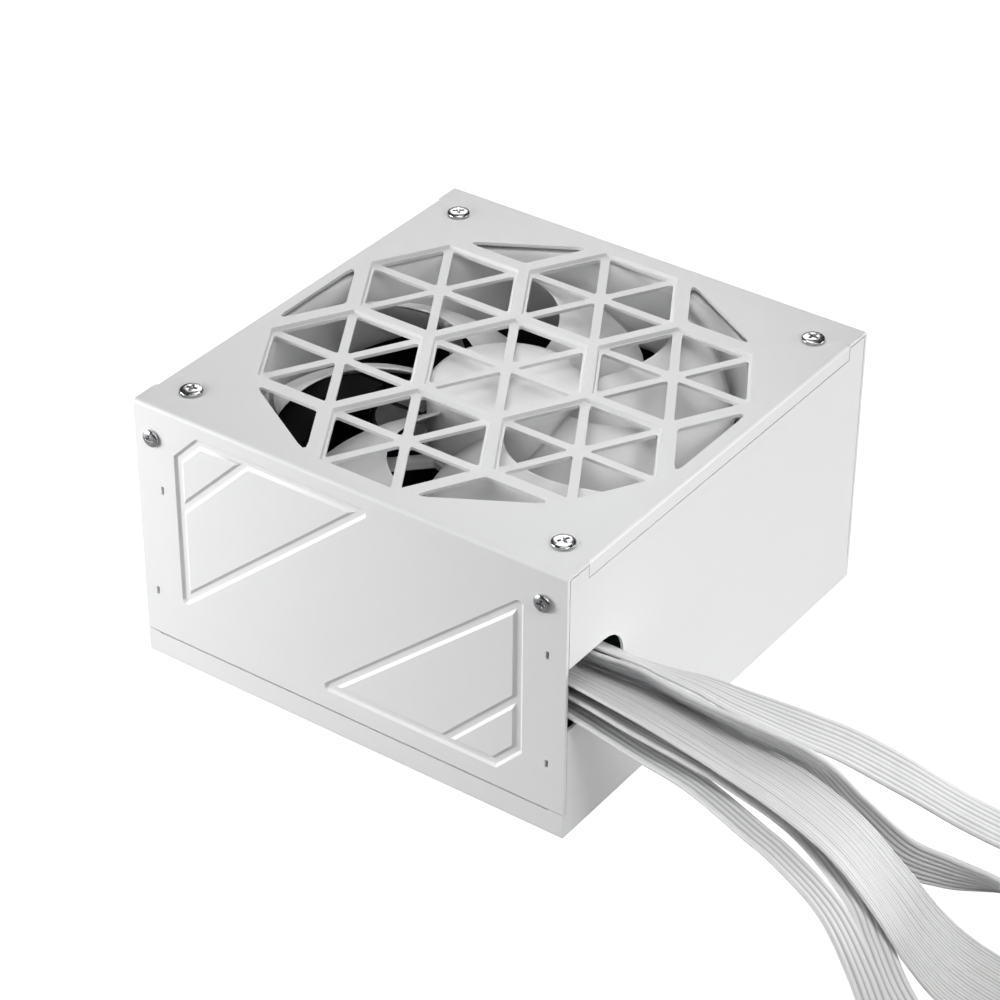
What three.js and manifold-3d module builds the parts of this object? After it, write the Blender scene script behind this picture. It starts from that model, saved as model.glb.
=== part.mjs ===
// ATX power supply unit: folded sheet-metal case, 140 mm fan, mains inlet, board and output cables.
// Millimetres, +Z up. The origin is the bottom centre of the case.
// +X is the wall that the output cables leave by, -X is the wall with the mains inlet.

import * as THREE from 'three';
import { mergeVertices } from 'three/addons/utils/BufferGeometryUtils.js';
import { ConvexGeometry } from 'three/addons/geometries/ConvexGeometry.js';
import Module from 'manifold-3d';

const wasm = await Module();
wasm.setup();

// ---------------------------------------------------------------- driving dimensions
const LENGTH = 145;              // case along X
const WIDTH = 150;               // case along Y
const HEIGHT = 86;               // case along Z
const SHEET = 1;                 // steel thickness
const BEND_RADIUS = 1.2;         // outside of the sheet's folds
const BEND_STEPS = 5;            // flats that a fold is drawn with
const GAP = 0.3;                 // clearance kept between neighbouring pieces
const SEAM_Z = 8.6;              // joint between the cover's sides and the base's strips
const FLANGE = 5;                // height of the cover's lips over the end walls
const CELL = 26.9;               // side of one hexagon of the fan grille
const PRESS_DEPTH = 1.05;        // how far each hexagon is pressed down
const FAN_SIZE = 139.4;
const FAN_THICKNESS = 25;
const FAN_HOLE = 62.25;          // half the spacing of a 140 mm fan's screw holes
const HUB_RADIUS = 22.5;
const BLADE_COUNT = 7;
const BLADE_PHASE = 27.5;        // degrees that the rotor stands turned at rest
const BOARD_Z = 9.7;             // underside of the circuit board
const BOARD_THICKNESS = 1.6;

const HALF_X = LENGTH / 2;
const HALF_Y = WIDTH / 2;
const UNDER_TOP = HEIGHT - SHEET;
const FAN_TOP = HEIGHT - PRESS_DEPTH - SHEET - GAP;
const FAN_BOTTOM = FAN_TOP - FAN_THICKNESS;
const PARTS_Z = BOARD_Z + BOARD_THICKNESS + GAP;

// ---------------------------------------------------------------- materials
function material(color, roughness, metalness) {
  return new THREE.MeshStandardMaterial({ color, roughness, metalness });
}

const whitePaint = material(0xe9e9ea, 0.5, 0.1);
const whitePlastic = material(0xe6e6e6, 0.45, 0);
const blackPlastic = material(0x141415, 0.45, 0);
const chrome = material(0xc9ccd0, 0.22, 1);
const aluminium = material(0xa9acb0, 0.4, 1);
const boardGreen = material(0x1c1f1d, 0.5, 0);
const clearFilm = material(0x2a2c2e, 0.4, 0);
const ferrite = material(0x2b2c2e, 0.6, 0.2);
const tapeYellow = material(0xc8a52c, 0.5, 0);
const copper = material(0xa35a2a, 0.35, 1);
const capacitorSleeve = material(0x1a1c22, 0.35, 0);
const cableWhite = material(0xdcdcdc, 0.5, 0);

// ---------------------------------------------------------------- solids
// A closed solid from a geometry. Its points are put on a fine grid, so that faces meant to be in
// one plane are exactly in one plane when solids are joined and cut.
const GRID = 1 / 512;

function solid(geometry) {
  geometry.deleteAttribute('normal');
  geometry.deleteAttribute('uv');
  const points = geometry.attributes.position.array;
  points.forEach((value, i) => { points[i] = Math.round(value / GRID) * GRID; });
  const merged = mergeVertices(geometry, 1e-4);
  const index = merged.index.array;
  const triangles = [];
  for (let i = 0; i < index.length; i += 3) {
    const [a, b, c] = [index[i], index[i + 1], index[i + 2]];
    if (a !== b && b !== c && c !== a) triangles.push(a, b, c);
  }
  return new wasm.Manifold(new wasm.Mesh({
    numProp: 3,
    vertProperties: new Float32Array(merged.attributes.position.array),
    triVerts: new Uint32Array(triangles),
  }));
}

function join(...solids) {
  return solids.reduce((whole, next) => whole.add(next));
}

function cut(body, ...tools) {
  return tools.reduce((rest, tool) => rest.subtract(tool), body);
}

function toGeometry(body) {
  const mesh = body.getMesh();
  const geometry = new THREE.BufferGeometry();
  geometry.setAttribute('position', new THREE.BufferAttribute(mesh.vertProperties, 3));
  geometry.setIndex(new THREE.BufferAttribute(mesh.triVerts, 1));
  geometry.computeVertexNormals();
  return geometry;
}

function box(x0, x1, y0, y1, z0, z1) {
  const geometry = new THREE.BoxGeometry(x1 - x0, y1 - y0, z1 - z0);
  return solid(geometry.translate((x0 + x1) / 2, (y0 + y1) / 2, (z0 + z1) / 2));
}

// an upright cylinder or cone frustum; sides = 6 gives a hexagon with corners towards +X and -X
function frustum(x, y, z0, z1, bottomRadius, topRadius, sides) {
  const geometry = new THREE.CylinderGeometry(topRadius, bottomRadius, z1 - z0, sides);
  geometry.rotateX(Math.PI / 2).rotateZ(Math.PI / 6);
  return solid(geometry.translate(x, y, (z0 + z1) / 2));
}

function cylinder(x, y, z0, z1, radius, sides = 24) {
  return frustum(x, y, z0, z1, radius, radius, sides);
}

function extrude(shape, depth, curveSegments = 3) {
  return new THREE.ExtrudeGeometry(shape, { depth, bevelEnabled: false, curveSegments });
}

// a shape drawn in (x, y) and extruded upwards
function prismZ(shape, z0, z1) {
  return solid(extrude(shape, z1 - z0).translate(0, 0, z0));
}

// a shape drawn in (y, z) and extruded along +X
function prismX(shape, x0, x1) {
  const turn = new THREE.Matrix4().makeBasis(
    new THREE.Vector3(0, 1, 0), new THREE.Vector3(0, 0, 1), new THREE.Vector3(1, 0, 0));
  return solid(extrude(shape, x1 - x0).applyMatrix4(turn).translate(x0, 0, 0));
}

// a shape drawn in (x, z) and extruded from y1 down to y0
function prismY(shape, y0, y1) {
  const turn = new THREE.Matrix4().makeBasis(
    new THREE.Vector3(1, 0, 0), new THREE.Vector3(0, 0, 1), new THREE.Vector3(0, -1, 0));
  return solid(extrude(shape, y1 - y0).applyMatrix4(turn).translate(0, y1, 0));
}

// A closed outline whose corners are rounded by quadratic curves that start `radius` before them;
// `radii` may name a radius for each corner.
function roundedOutline(corners, radii) {
  const shape = new THREE.Shape();
  corners.forEach((corner, i) => {
    const radius = Array.isArray(radii) ? radii[i] : radii;
    const before = corners[(i + corners.length - 1) % corners.length];
    const after = corners[(i + 1) % corners.length];
    const enter = corner.clone().add(before.clone().sub(corner).setLength(radius));
    const leave = corner.clone().add(after.clone().sub(corner).setLength(radius));
    if (i === 0) shape.moveTo(enter.x, enter.y);
    else shape.lineTo(enter.x, enter.y);
    shape.quadraticCurveTo(corner.x, corner.y, leave.x, leave.y);
  });
  shape.closePath();
  return shape;
}

// what rounds off a right-angled edge: the corner is at (a, b) and the solid lies towards (da, db)
function edgeRounding([a, b], [da, db], radius) {
  const beyond = 0.5;
  const outline = [[a - da * beyond, b + db * radius], [a - da * beyond, b - db * beyond],
    [a + da * radius, b - db * beyond]];
  for (let k = 0; k <= BEND_STEPS; k += 1) {
    const angle = Math.PI / 2 * k / BEND_STEPS;
    outline.push([a + da * radius * (1 - Math.sin(angle)), b + db * radius * (1 - Math.cos(angle))]);
  }
  return polygonShape(da * db > 0 ? outline : outline.reverse());
}

function polygonShape(corners) {
  const shape = new THREE.Shape();
  corners.forEach(([x, y], i) => (i === 0 ? shape.moveTo(x, y) : shape.lineTo(x, y)));
  shape.closePath();
  return shape;
}

function roundedRectangle(x0, x1, y0, y1, radius) {
  const corners = [[x0, y0], [x1, y0], [x1, y1], [x0, y1]];
  return roundedOutline(corners.map(([x, y]) => new THREE.Vector2(x, y)), radius);
}

// ---------------------------------------------------------------- assembly
const unit = new THREE.Group();

function part(name, body, look) {
  const mesh = new THREE.Mesh(toGeometry(body), look);
  mesh.name = name;
  unit.add(mesh);
  return mesh;
}

// ---------------------------------------------------------------- screws
const FAN_SCREW = { head: 3.4, headHeight: 1.3, shank: 1.9, length: 7, sides: 16 };
const CASE_SCREW = { head: 2.7, headHeight: 1.2, shank: 1.4, length: 4.5, sides: 14 };
const BOARD_SCREW = { head: 2.8, headHeight: 1.6, shank: 1.4, length: 6, sides: 10 };

// a pan-head screw with a cross recess; its head rests on z = 0 and its shank points down
function screw({ head, headHeight, shank, length, sides }) {
  const profile = [
    [0, -length], [shank, -length + shank * 0.6], [shank, 0], [head, 0],
    [head, headHeight * 0.45], [head * 0.72, headHeight * 0.88], [0, headHeight],
  ];
  const body = solid(new THREE.LatheGeometry(profile.map(([r, z]) => new THREE.Vector2(r, z)), sides)
    .rotateX(Math.PI / 2));
  const arm = head * 0.56;
  const slot = head * 0.13;
  const depth = headHeight * 0.35;
  return cut(body,
    box(-arm, arm, -slot, slot, depth, headHeight * 2),
    box(-slot, slot, -arm, arm, depth, headHeight * 2));
}

function hole(x, y, z0, z1, screwSize) {
  return cylinder(x, y, z0, z1, screwSize.shank + GAP, 12);
}

// ---------------------------------------------------------------- fan grille
const GRILLE_LEDGE = 1.0;        // flat shelf inside each pressed hexagon
const RIB_WIDTH = 3.2;           // ribs between the pressed hexagons
const SPOKE_WIDTH = 2.7;
const WEB_WIDTH = 2.6;           // margin of the outer triangular holes
const HOLE_RADIUS = 1.3;
const ACUTE_HOLE_RADIUS = 5.5;   // at the two sharp corners of an outer hole

const HEXAGON_INRADIUS = CELL * Math.sqrt(3) / 2;
const PRESS_INRADIUS = HEXAGON_INRADIUS - RIB_WIDTH / 2;
const GRILLE_INRADIUS = PRESS_INRADIUS - GRILLE_LEDGE;

function polar(radius, degrees) {
  const angle = THREE.MathUtils.degToRad(degrees);
  return new THREE.Vector2(radius * Math.cos(angle), radius * Math.sin(angle));
}

const cellCentres = [new THREE.Vector2(0, 0)];
for (let k = 0; k < 6; k += 1) cellCentres.push(polar(2 * HEXAGON_INRADIUS, 30 + 60 * k));

function hexagonFrustum(centre, z0, z1, bottomInradius, topInradius) {
  const toCorner = 2 / Math.sqrt(3);
  return frustum(centre.x, centre.y, z0, z1, bottomInradius * toCorner, topInradius * toCorner, 6);
}

// six triangular holes that leave six spokes from the centre of a cell to its corners
function cellHoles(centre) {
  const apex = SPOKE_WIDTH / 2 / Math.sin(Math.PI / 6);
  const halfBase = (GRILLE_INRADIUS - apex) * Math.tan(Math.PI / 6);
  const holes = [];
  for (let k = 0; k < 6; k += 1) {
    const turn = THREE.MathUtils.degToRad(30 + 60 * k);
    const triangle = [
      new THREE.Vector2(apex, 0),
      new THREE.Vector2(GRILLE_INRADIUS, -halfBase),
      new THREE.Vector2(GRILLE_INRADIUS, halfBase),
    ].map((corner) => corner.rotateAround(new THREE.Vector2(), turn).add(centre));
    holes.push(prismZ(roundedOutline(triangle, HOLE_RADIUS), FAN_TOP, HEIGHT + 1));
  }
  return holes;
}

// the obtuse triangular hole outside the corner that two outer cells share
function outerHole(k) {
  const towards = 60 * k;
  const shared = polar(2 * CELL + WEB_WIDTH / Math.sin(Math.PI / 3), towards);
  const reach = CELL - WEB_WIDTH / Math.tan(Math.PI / 3) - WEB_WIDTH / Math.sin(Math.PI / 3);
  const triangle = [
    shared,
    shared.clone().add(polar(reach, towards - 60)),
    shared.clone().add(polar(reach, towards + 60)),
  ];
  const radii = [HOLE_RADIUS, ACUTE_HOLE_RADIUS, ACUTE_HOLE_RADIUS];
  return prismZ(roundedOutline(triangle, radii), FAN_TOP, HEIGHT + 1);
}

// ---------------------------------------------------------------- pressed pattern on the cover's side
const GROOVE_DEPTH = 0.7;
const GROOVE_TOP = 1.75;         // half width at the surface
const GROOVE_BOTTOM = 0.85;      // half width at the floor of the groove

// left panel as (x, z) corners; the right panel is the left one turned by half a turn
const PANEL = [[-57.2, 24.5], [-57.2, 71.8], [-49.7, 79.6], [6.3, 79.6]];
const PANEL_DIAGONAL = [[-33, 79.6], [-57.2, 55]];
const PATTERN_CENTRE_Z = 47.9;

function halfTurn([x, z]) {
  return [-x, 2 * PATTERN_CENTRE_Z - z];
}

function grooveSegment([x0, z0], [x1, z1], grow) {
  const points = [];
  for (const [x, z] of [[x0, z0], [x1, z1]]) {
    for (let k = 0; k < 8; k += 1) {
      const at = (radius, y) => new THREE.Vector3(
        x + radius * Math.cos(Math.PI * (k + 0.5) / 4), y, z + radius * Math.sin(Math.PI * (k + 0.5) / 4));
      points.push(at(GROOVE_TOP + grow + 0.02, -HALF_Y - 0.01 + grow));
      points.push(at(GROOVE_BOTTOM + grow, -HALF_Y + GROOVE_DEPTH + grow));
    }
  }
  return solid(new ConvexGeometry(points));
}

function grooves(grow) {
  const segments = [];
  for (const place of [(corner) => corner, halfTurn]) {
    PANEL.forEach((corner, i) => {
      segments.push(grooveSegment(place(corner), place(PANEL[(i + 1) % PANEL.length]), grow));
    });
    segments.push(grooveSegment(place(PANEL_DIAGONAL[0]), place(PANEL_DIAGONAL[1]), grow));
  }
  return join(...segments);
}

// ---------------------------------------------------------------- cover
const CASE_SCREW_X = [-66.5, 65];
const CASE_SCREW_Z = 75.5;
const LIP_HALF = 65.3;           // half length of the lips over the end walls
const SHEARED_SLOTS = [[-63.7, 59], [-67.9, 23.3], [66.5, 59.3], [66.7, 23.6]];   // (x, z)
const SLOT_HALF_X = 0.5;
const SLOT_HALF_Z = 1.3;

function cover() {
  const top = box(-HALF_X, HALF_X, -HALF_Y, HALF_Y, UNDER_TOP, HEIGHT);
  const front = box(-HALF_X, HALF_X, -HALF_Y, -HALF_Y + SHEET, SEAM_Z, HEIGHT);
  const back = box(-HALF_X, HALF_X, HALF_Y - SHEET, HALF_Y, SEAM_Z, HEIGHT);
  const lips = [
    box(HALF_X - SHEET, HALF_X, -LIP_HALF, LIP_HALF, HEIGHT - FLANGE, HEIGHT),
    box(-HALF_X, -HALF_X + SHEET, -LIP_HALF, LIP_HALF, HEIGHT - FLANGE, HEIGHT),
  ];
  const pans = cellCentres.map((centre) => hexagonFrustum(
    centre, UNDER_TOP - PRESS_DEPTH, UNDER_TOP + 0.2, PRESS_INRADIUS + 0.6, PRESS_INRADIUS + 1));
  const recesses = cellCentres.map((centre) => hexagonFrustum(
    centre, HEIGHT - PRESS_DEPTH, HEIGHT + 0.1, PRESS_INRADIUS - 0.35, PRESS_INRADIUS + 0.1));
  let body = join(top, front, back, ...lips, ...pans, grooves(SHEET * 0.6));
  for (const side of [-1, 1]) {
    body = cut(body,
      prismX(edgeRounding([side * HALF_Y, HEIGHT], [-side, -1], BEND_RADIUS), -HALF_X - 1, HALF_X + 1),
      prismY(edgeRounding([side * HALF_X, HEIGHT], [-side, -1], BEND_RADIUS), -LIP_HALF, LIP_HALF));
  }
  body = cut(body, ...recesses, grooves(0));
  body = cut(body, ...cellCentres.flatMap(cellHoles));
  for (let k = 0; k < 6; k += 1) body = cut(body, outerHole(k));
  for (const x of [-FAN_HOLE, FAN_HOLE]) {
    for (const y of [-FAN_HOLE, FAN_HOLE]) {
      body = cut(body,
        hole(x, y, FAN_TOP, HEIGHT + 1, FAN_SCREW),
        frustum(x, y, HEIGHT - 0.45, HEIGHT + 0.01, 3.8, 4.6, 24));
    }
  }
  for (const x of CASE_SCREW_X) {
    const outline = new THREE.Shape();
    outline.absarc(x, CASE_SCREW_Z, CASE_SCREW.shank + GAP, 0, 2 * Math.PI);
    body = cut(body, prismY(outline, -HALF_Y - 1, HALF_Y + 1));
  }
  for (const [x, z] of SHEARED_SLOTS) {
    body = cut(body, box(
      x - SLOT_HALF_X, x + SLOT_HALF_X, -HALF_Y - 1, HALF_Y + 1, z - SLOT_HALF_Z, z + SLOT_HALF_Z));
  }
  return body;
}

part('cover', cover(), whitePaint);

// ---------------------------------------------------------------- base
const WALL_HALF = HALF_Y - SHEET - GAP;   // the end walls stand between the cover's sides
const TAB = 13;                            // screw tabs folded back from the end walls
const CABLE_HOLE = { y1: -48, z0: 36.3, z1: 56.6 };
const INLET = { y: 50, z: 24, halfY: 13.5, halfZ: 10 };
const SWITCH = { y: 20, z: 24, halfY: 7.5, halfZ: 10.5 };
const VENT_PITCH = 9.4;
const VENT_RADIUS = 4.6;
const VENT_ROWS = 8;
const VENT_COLUMNS = 8;          // each side of the middle
const FIRST_VENT_Z = 11;
const STANDOFFS = [[-60, -60], [-60, 60], [44, 60], [44, -60]];
const CHASSIS_HOLES = [[-69, 80], [69, 80], [-69, 16], [45, 6]];   // (y, z) of the ATX pattern

// Joined solids are made to overlap by a few hundredths instead of sharing a plane.
const BITE = 0.04;

function circularPath(x, y, radius) {
  const path = new THREE.Path();
  path.absarc(x, y, radius, 0, 2 * Math.PI, true);
  return path;
}

// outline of an end wall in (y, z): full width below the seam, notched on top for the cover's lip
function wallOutline() {
  const side = HALF_Y - BITE;
  const top = UNDER_TOP - GAP;
  const notch = HEIGHT - FLANGE - GAP;
  const seam = SEAM_Z - GAP - BITE;
  return polygonShape([
    [-side, BITE], [side, BITE], [side, seam], [WALL_HALF, seam], [WALL_HALF, top],
    [LIP_HALF + GAP, top], [LIP_HALF + GAP, notch], [-LIP_HALF - GAP, notch], [-LIP_HALF - GAP, top],
    [-WALL_HALF, top], [-WALL_HALF, seam], [-side, seam],
  ]);
}

function ventHoles() {
  const holes = [];
  const rowHeight = VENT_PITCH * Math.sqrt(3) / 2;
  for (let row = 0; row < VENT_ROWS; row += 1) {
    const z = FIRST_VENT_Z + row * rowHeight;
    for (let column = -VENT_COLUMNS; column <= VENT_COLUMNS; column += 1) {
      const y = (column + (row % 2) / 2) * VENT_PITCH;
      const nearInlet = y > SWITCH.y - 19 && z < 48;
      const nearChassisHole = CHASSIS_HOLES.some(([hy, hz]) => Math.hypot(y - hy, z - hz) < 9);
      if (Math.abs(y) > 62 || nearInlet || nearChassisHole) continue;
      const corners = [0, 1, 2, 3, 4, 5].map((k) => polar(VENT_RADIUS, 30 + 60 * k));
      holes.push(polygonShape(corners.map((corner) => [y + corner.x, z + corner.y])));
    }
  }
  return holes;
}

// a lip folded inwards behind the wall, which the cover's lip lies on
function wallLedge(side) {
  const outline = [
    [HALF_X - 0.7, 77], [HALF_X - 0.7, 79], [HALF_X - SHEET - GAP, 79],
    [HALF_X - SHEET - GAP, UNDER_TOP - GAP], [HALF_X - 2 * SHEET - GAP, UNDER_TOP - GAP],
    [HALF_X - 2 * SHEET - GAP, 77],
  ];
  return prismY(polygonShape(outline.map(([x, z]) => [side * x, z])), -LIP_HALF, LIP_HALF);
}

function screwTab(side, end) {
  const x = [side * (HALF_X - 0.3), side * (HALF_X - TAB)].sort((a, b) => a - b);
  const y = [end * (WALL_HALF - BITE), end * (WALL_HALF - BITE - SHEET)].sort((a, b) => a - b);
  return box(x[0], x[1], y[0], y[1], 0.5, UNDER_TOP - GAP - BITE);
}

function base() {
  const inner = HALF_Y - SHEET;
  const edge = SEAM_Z - GAP;
  const tray = prismX(polygonShape([
    [-HALF_Y, 0], [HALF_Y, 0], [HALF_Y, edge], [inner, edge], [inner, SHEET],
    [-inner, SHEET], [-inner, edge], [-HALF_Y, edge],
  ]), -HALF_X + BITE, HALF_X - BITE);

  const inletWall = wallOutline();
  inletWall.holes.push(...ventHoles());
  for (const [y, z] of CHASSIS_HOLES) inletWall.holes.push(circularPath(y, z, 1.6));
  for (const opening of [INLET, SWITCH]) {
    inletWall.holes.push(roundedRectangle(
      opening.y - opening.halfY - GAP, opening.y + opening.halfY + GAP,
      opening.z - opening.halfZ - GAP, opening.z + opening.halfZ + GAP, 1));
  }
  const posts = STANDOFFS.map(([x, y]) => cylinder(x, y, 0.5, BOARD_Z - GAP, 3.2, 16));
  let body = join(tray, ...posts,
    prismX(wallOutline(), HALF_X - SHEET, HALF_X),
    prismX(inletWall, -HALF_X, -HALF_X + SHEET));
  for (const side of [-1, 1]) {
    body = join(body, wallLedge(side), screwTab(side, -1), screwTab(side, 1));
  }

  const cableHole = new THREE.Shape();
  cableHole.moveTo(-HALF_Y - 1, CABLE_HOLE.z0);
  cableHole.lineTo(CABLE_HOLE.y1 - 6, CABLE_HOLE.z0);
  cableHole.absarc(CABLE_HOLE.y1 - 6, CABLE_HOLE.z0 + 6, 6, -Math.PI / 2, 0);
  cableHole.absarc(CABLE_HOLE.y1 - 9.5, CABLE_HOLE.z1 - 9.5, 9.5, 0, Math.PI / 2);
  cableHole.lineTo(-HALF_Y - 1, CABLE_HOLE.z1);
  cableHole.closePath();
  body = cut(body, prismX(cableHole, HALF_X - TAB - 1, HALF_X + 1));

  for (const side of [-1, 1]) {
    const y = side * (HALF_Y - SHEET / 2);
    body = cut(body, box(-68.3, 67.5, y - SHEET, y + SHEET, SEAM_Z - 2 * GAP, SEAM_Z + 1));
  }
  for (const x of CASE_SCREW_X) {
    const outline = new THREE.Shape();
    outline.absarc(x, CASE_SCREW_Z, CASE_SCREW.shank + GAP, 0, 2 * Math.PI);
    body = cut(body, prismY(outline, -HALF_Y - 1, HALF_Y + 1));
  }
  for (const [x, y] of STANDOFFS) body = cut(body, hole(x, y, 2, BOARD_Z, BOARD_SCREW));
  for (const side of [-1, 1]) {
    body = cut(body,
      prismX(edgeRounding([side * HALF_Y, 0], [-side, 1], BEND_RADIUS), -HALF_X - 1, HALF_X + 1),
      prismY(edgeRounding([side * HALF_X, 0], [-side, 1], BEND_RADIUS), -HALF_Y - 1, HALF_Y + 1));
  }
  return body;
}

part('base_tray', base(), whitePaint);

// ---------------------------------------------------------------- screws in place
let screwNumber = 0;
for (const x of [-FAN_HOLE, FAN_HOLE]) {
  for (const y of [-FAN_HOLE, FAN_HOLE]) {
    screwNumber += 1;
    const mesh = part(`fan_screw_${screwNumber}`, screw(FAN_SCREW), chrome);
    mesh.position.set(x, y, HEIGHT - 0.35);
    mesh.rotation.z = 0.35 * screwNumber;
  }
}

screwNumber = 0;
for (const side of [-1, 1]) {
  for (const x of CASE_SCREW_X) {
    screwNumber += 1;
    const mesh = part(`case_screw_${screwNumber}`, screw(CASE_SCREW), chrome);
    mesh.position.set(x, side * (HALF_Y + 0.1), CASE_SCREW_Z);
    mesh.rotation.x = -side * Math.PI / 2;
  }
}

screwNumber = 0;
for (const [x, y] of STANDOFFS) {
  screwNumber += 1;
  const mesh = part(`board_screw_${screwNumber}`, screw(BOARD_SCREW), chrome);
  mesh.position.set(x, y, PARTS_Z);
}

// ---------------------------------------------------------------- fan
const BORE_RADIUS = 66.6;
const BELL_MOUTH = [[7, 0], [2.8, 0.7], [0, 2.3]];   // depth below the frame's top, widening of the bore
const FAN_FLANGE = 4;
const MOTOR_BASE = 3;
const BEARING_OUTER = 4;
const BEARING_INNER = 1.9;
const SHAFT_RADIUS = 1.5;
const ROTOR_TOP = HEIGHT - 5.6;
const ROTOR_SKIRT = FAN_BOTTOM + MOTOR_BASE + 1.2;

function fanFrame() {
  const half = FAN_SIZE / 2;
  const plate = (z0, z1) => prismZ(roundedRectangle(-half, half, -half, half, 7), z0, z1);
  let body = join(
    plate(FAN_BOTTOM, FAN_BOTTOM + FAN_FLANGE),
    plate(FAN_TOP - FAN_FLANGE, FAN_TOP),
    cylinder(0, 0, FAN_BOTTOM, FAN_TOP, half - 0.1, 40));
  body = cut(body, cylinder(0, 0, FAN_BOTTOM - 1, FAN_TOP + 1, BORE_RADIUS, 40));
  for (let i = 1; i < BELL_MOUTH.length; i += 1) {
    const [[depth0, wider0], [depth1, wider1]] = BELL_MOUTH.slice(i - 1, i + 1);
    body = cut(body, frustum(
      0, 0, FAN_TOP - depth0, FAN_TOP - depth1, BORE_RADIUS + wider0, BORE_RADIUS + wider1, 40));
  }
  for (let k = 0; k < 4; k += 1) {
    const strut = new THREE.BoxGeometry(50, 5, MOTOR_BASE);
    strut.translate(44, 6, FAN_BOTTOM + MOTOR_BASE / 2).rotateZ(Math.PI * (2 * k + 1) / 4);
    body = join(body, solid(strut));
  }
  body = join(body,
    cylinder(0, 0, FAN_BOTTOM, FAN_BOTTOM + MOTOR_BASE, HUB_RADIUS + 1, 32),
    cylinder(0, 0, FAN_BOTTOM, ROTOR_TOP - 4, BEARING_OUTER, 16));
  body = cut(body, cylinder(0, 0, FAN_BOTTOM + 1, HEIGHT, BEARING_INNER, 16));
  for (const x of [-FAN_HOLE, FAN_HOLE]) {
    for (const y of [-FAN_HOLE, FAN_HOLE]) body = cut(body, hole(x, y, FAN_BOTTOM - 1, HEIGHT, FAN_SCREW));
  }
  return body;
}

// one blade: a thin slab bent so that it twists and sweeps back from the hub to the tip
function blade(k) {
  const innerRadius = HUB_RADIUS - 1;
  const outerRadius = BORE_RADIUS - 1.2;
  const geometry = new THREE.BoxGeometry(1, 1, 1, 6, 4, 1);
  const position = geometry.attributes.position;
  const middle = (FAN_BOTTOM + MOTOR_BASE + FAN_TOP) / 2 - 0.4;
  for (let i = 0; i < position.count; i += 1) {
    const along = position.getX(i) + 0.5;
    const across = position.getY(i);
    const through = position.getZ(i);
    const radius = innerRadius + (outerRadius - innerRadius) * along;
    const pitch = THREE.MathUtils.degToRad(44 - 18 * along);
    const chord = 20 + 29 * along;
    const sweep = 0.55 * along * along;
    const camber = 2.4 * (0.25 - across * across) * 4 * (0.4 + 0.6 * along);
    const arc = across * chord * Math.cos(pitch) - (through + camber) * Math.sin(pitch);
    const start = 2 * Math.PI * k / BLADE_COUNT + THREE.MathUtils.degToRad(BLADE_PHASE);
    const angle = start + sweep + arc / radius;
    const rise = across * chord * Math.sin(pitch) + (through * 1.5 + camber) * Math.cos(pitch);
    position.setXYZ(i, radius * Math.cos(angle), radius * Math.sin(angle), middle + rise * 0.82);
  }
  return solid(geometry);
}

function fanRotor() {
  const wall = 1.6;
  let body = cut(
    cylinder(0, 0, ROTOR_SKIRT, ROTOR_TOP - 1, HUB_RADIUS, 36),
    cylinder(0, 0, ROTOR_SKIRT - 1, ROTOR_TOP - wall - 1, HUB_RADIUS - wall, 36));
  body = join(body, frustum(0, 0, ROTOR_TOP - 1.1, ROTOR_TOP, HUB_RADIUS, HUB_RADIUS - 1.2, 36));
  for (let k = 0; k < BLADE_COUNT; k += 1) {
    body = join(body, cut(blade(k), cylinder(0, 0, FAN_BOTTOM, HEIGHT, HUB_RADIUS - wall / 2, 36)));
  }
  return join(body, cylinder(0, 0, FAN_BOTTOM + 1 + GAP, ROTOR_TOP - wall, SHAFT_RADIUS, 12));
}

function fanStator() {
  const ring = cylinder(0, 0, ROTOR_SKIRT + 0.5, ROTOR_TOP - 6, 16, 24);
  const arms = [0, 1, 2, 3].map((k) => {
    const slot = new THREE.BoxGeometry(6, 2.4, 20);
    slot.translate(14, 0, ROTOR_SKIRT + 6).rotateZ(Math.PI * k / 2);
    return solid(slot);
  });
  return cut(ring, cylinder(0, 0, ROTOR_SKIRT, ROTOR_TOP, BEARING_OUTER + GAP, 16), ...arms);
}

part('fan_frame', fanFrame(), whitePlastic);
part('fan_rotor', fanRotor(), whitePlastic);
part('fan_stator', fanStator(), copper);

// ---------------------------------------------------------------- mains inlet
const INLET_DEPTH = 20.5;
const PIN_SETBACK = 4.6;         // from the wall's outer face to the tips of the pins
const SOCKET_DEPTH = 17;
const PINS = { line: [-7, -2], earth: [0, 2], neutral: [7, -2] };

function mainsInlet() {
  const outer = -HALF_X;
  const rectangle = (halfY, halfZ, radius) => roundedRectangle(
    INLET.y - halfY, INLET.y + halfY, INLET.z - halfZ, INLET.z + halfZ, radius);
  const socket = polygonShape([
    [-12, -8.1], [12, -8.1], [12, 3.4], [7.6, 8.1], [-7.6, 8.1], [-12, 3.4],
  ].map(([y, z]) => [INLET.y + y, INLET.z + z]));
  let body = join(
    prismX(rectangle(INLET.halfY, INLET.halfZ, 1), outer, outer + INLET_DEPTH),
    prismX(rectangle(INLET.halfY + 3, INLET.halfZ + 2.5, 1), outer + SHEET + GAP, outer + SHEET + 2.5));
  body = cut(body, prismX(socket, outer - 1, outer + SOCKET_DEPTH));
  for (const [y, z] of Object.values(PINS)) {
    body = cut(body, box(outer, outer + INLET_DEPTH + 1,
      INLET.y + y - 1 - GAP, INLET.y + y + 1 + GAP, INLET.z + z - 2 - GAP, INLET.z + z + 2 + GAP));
  }
  return body;
}

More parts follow.
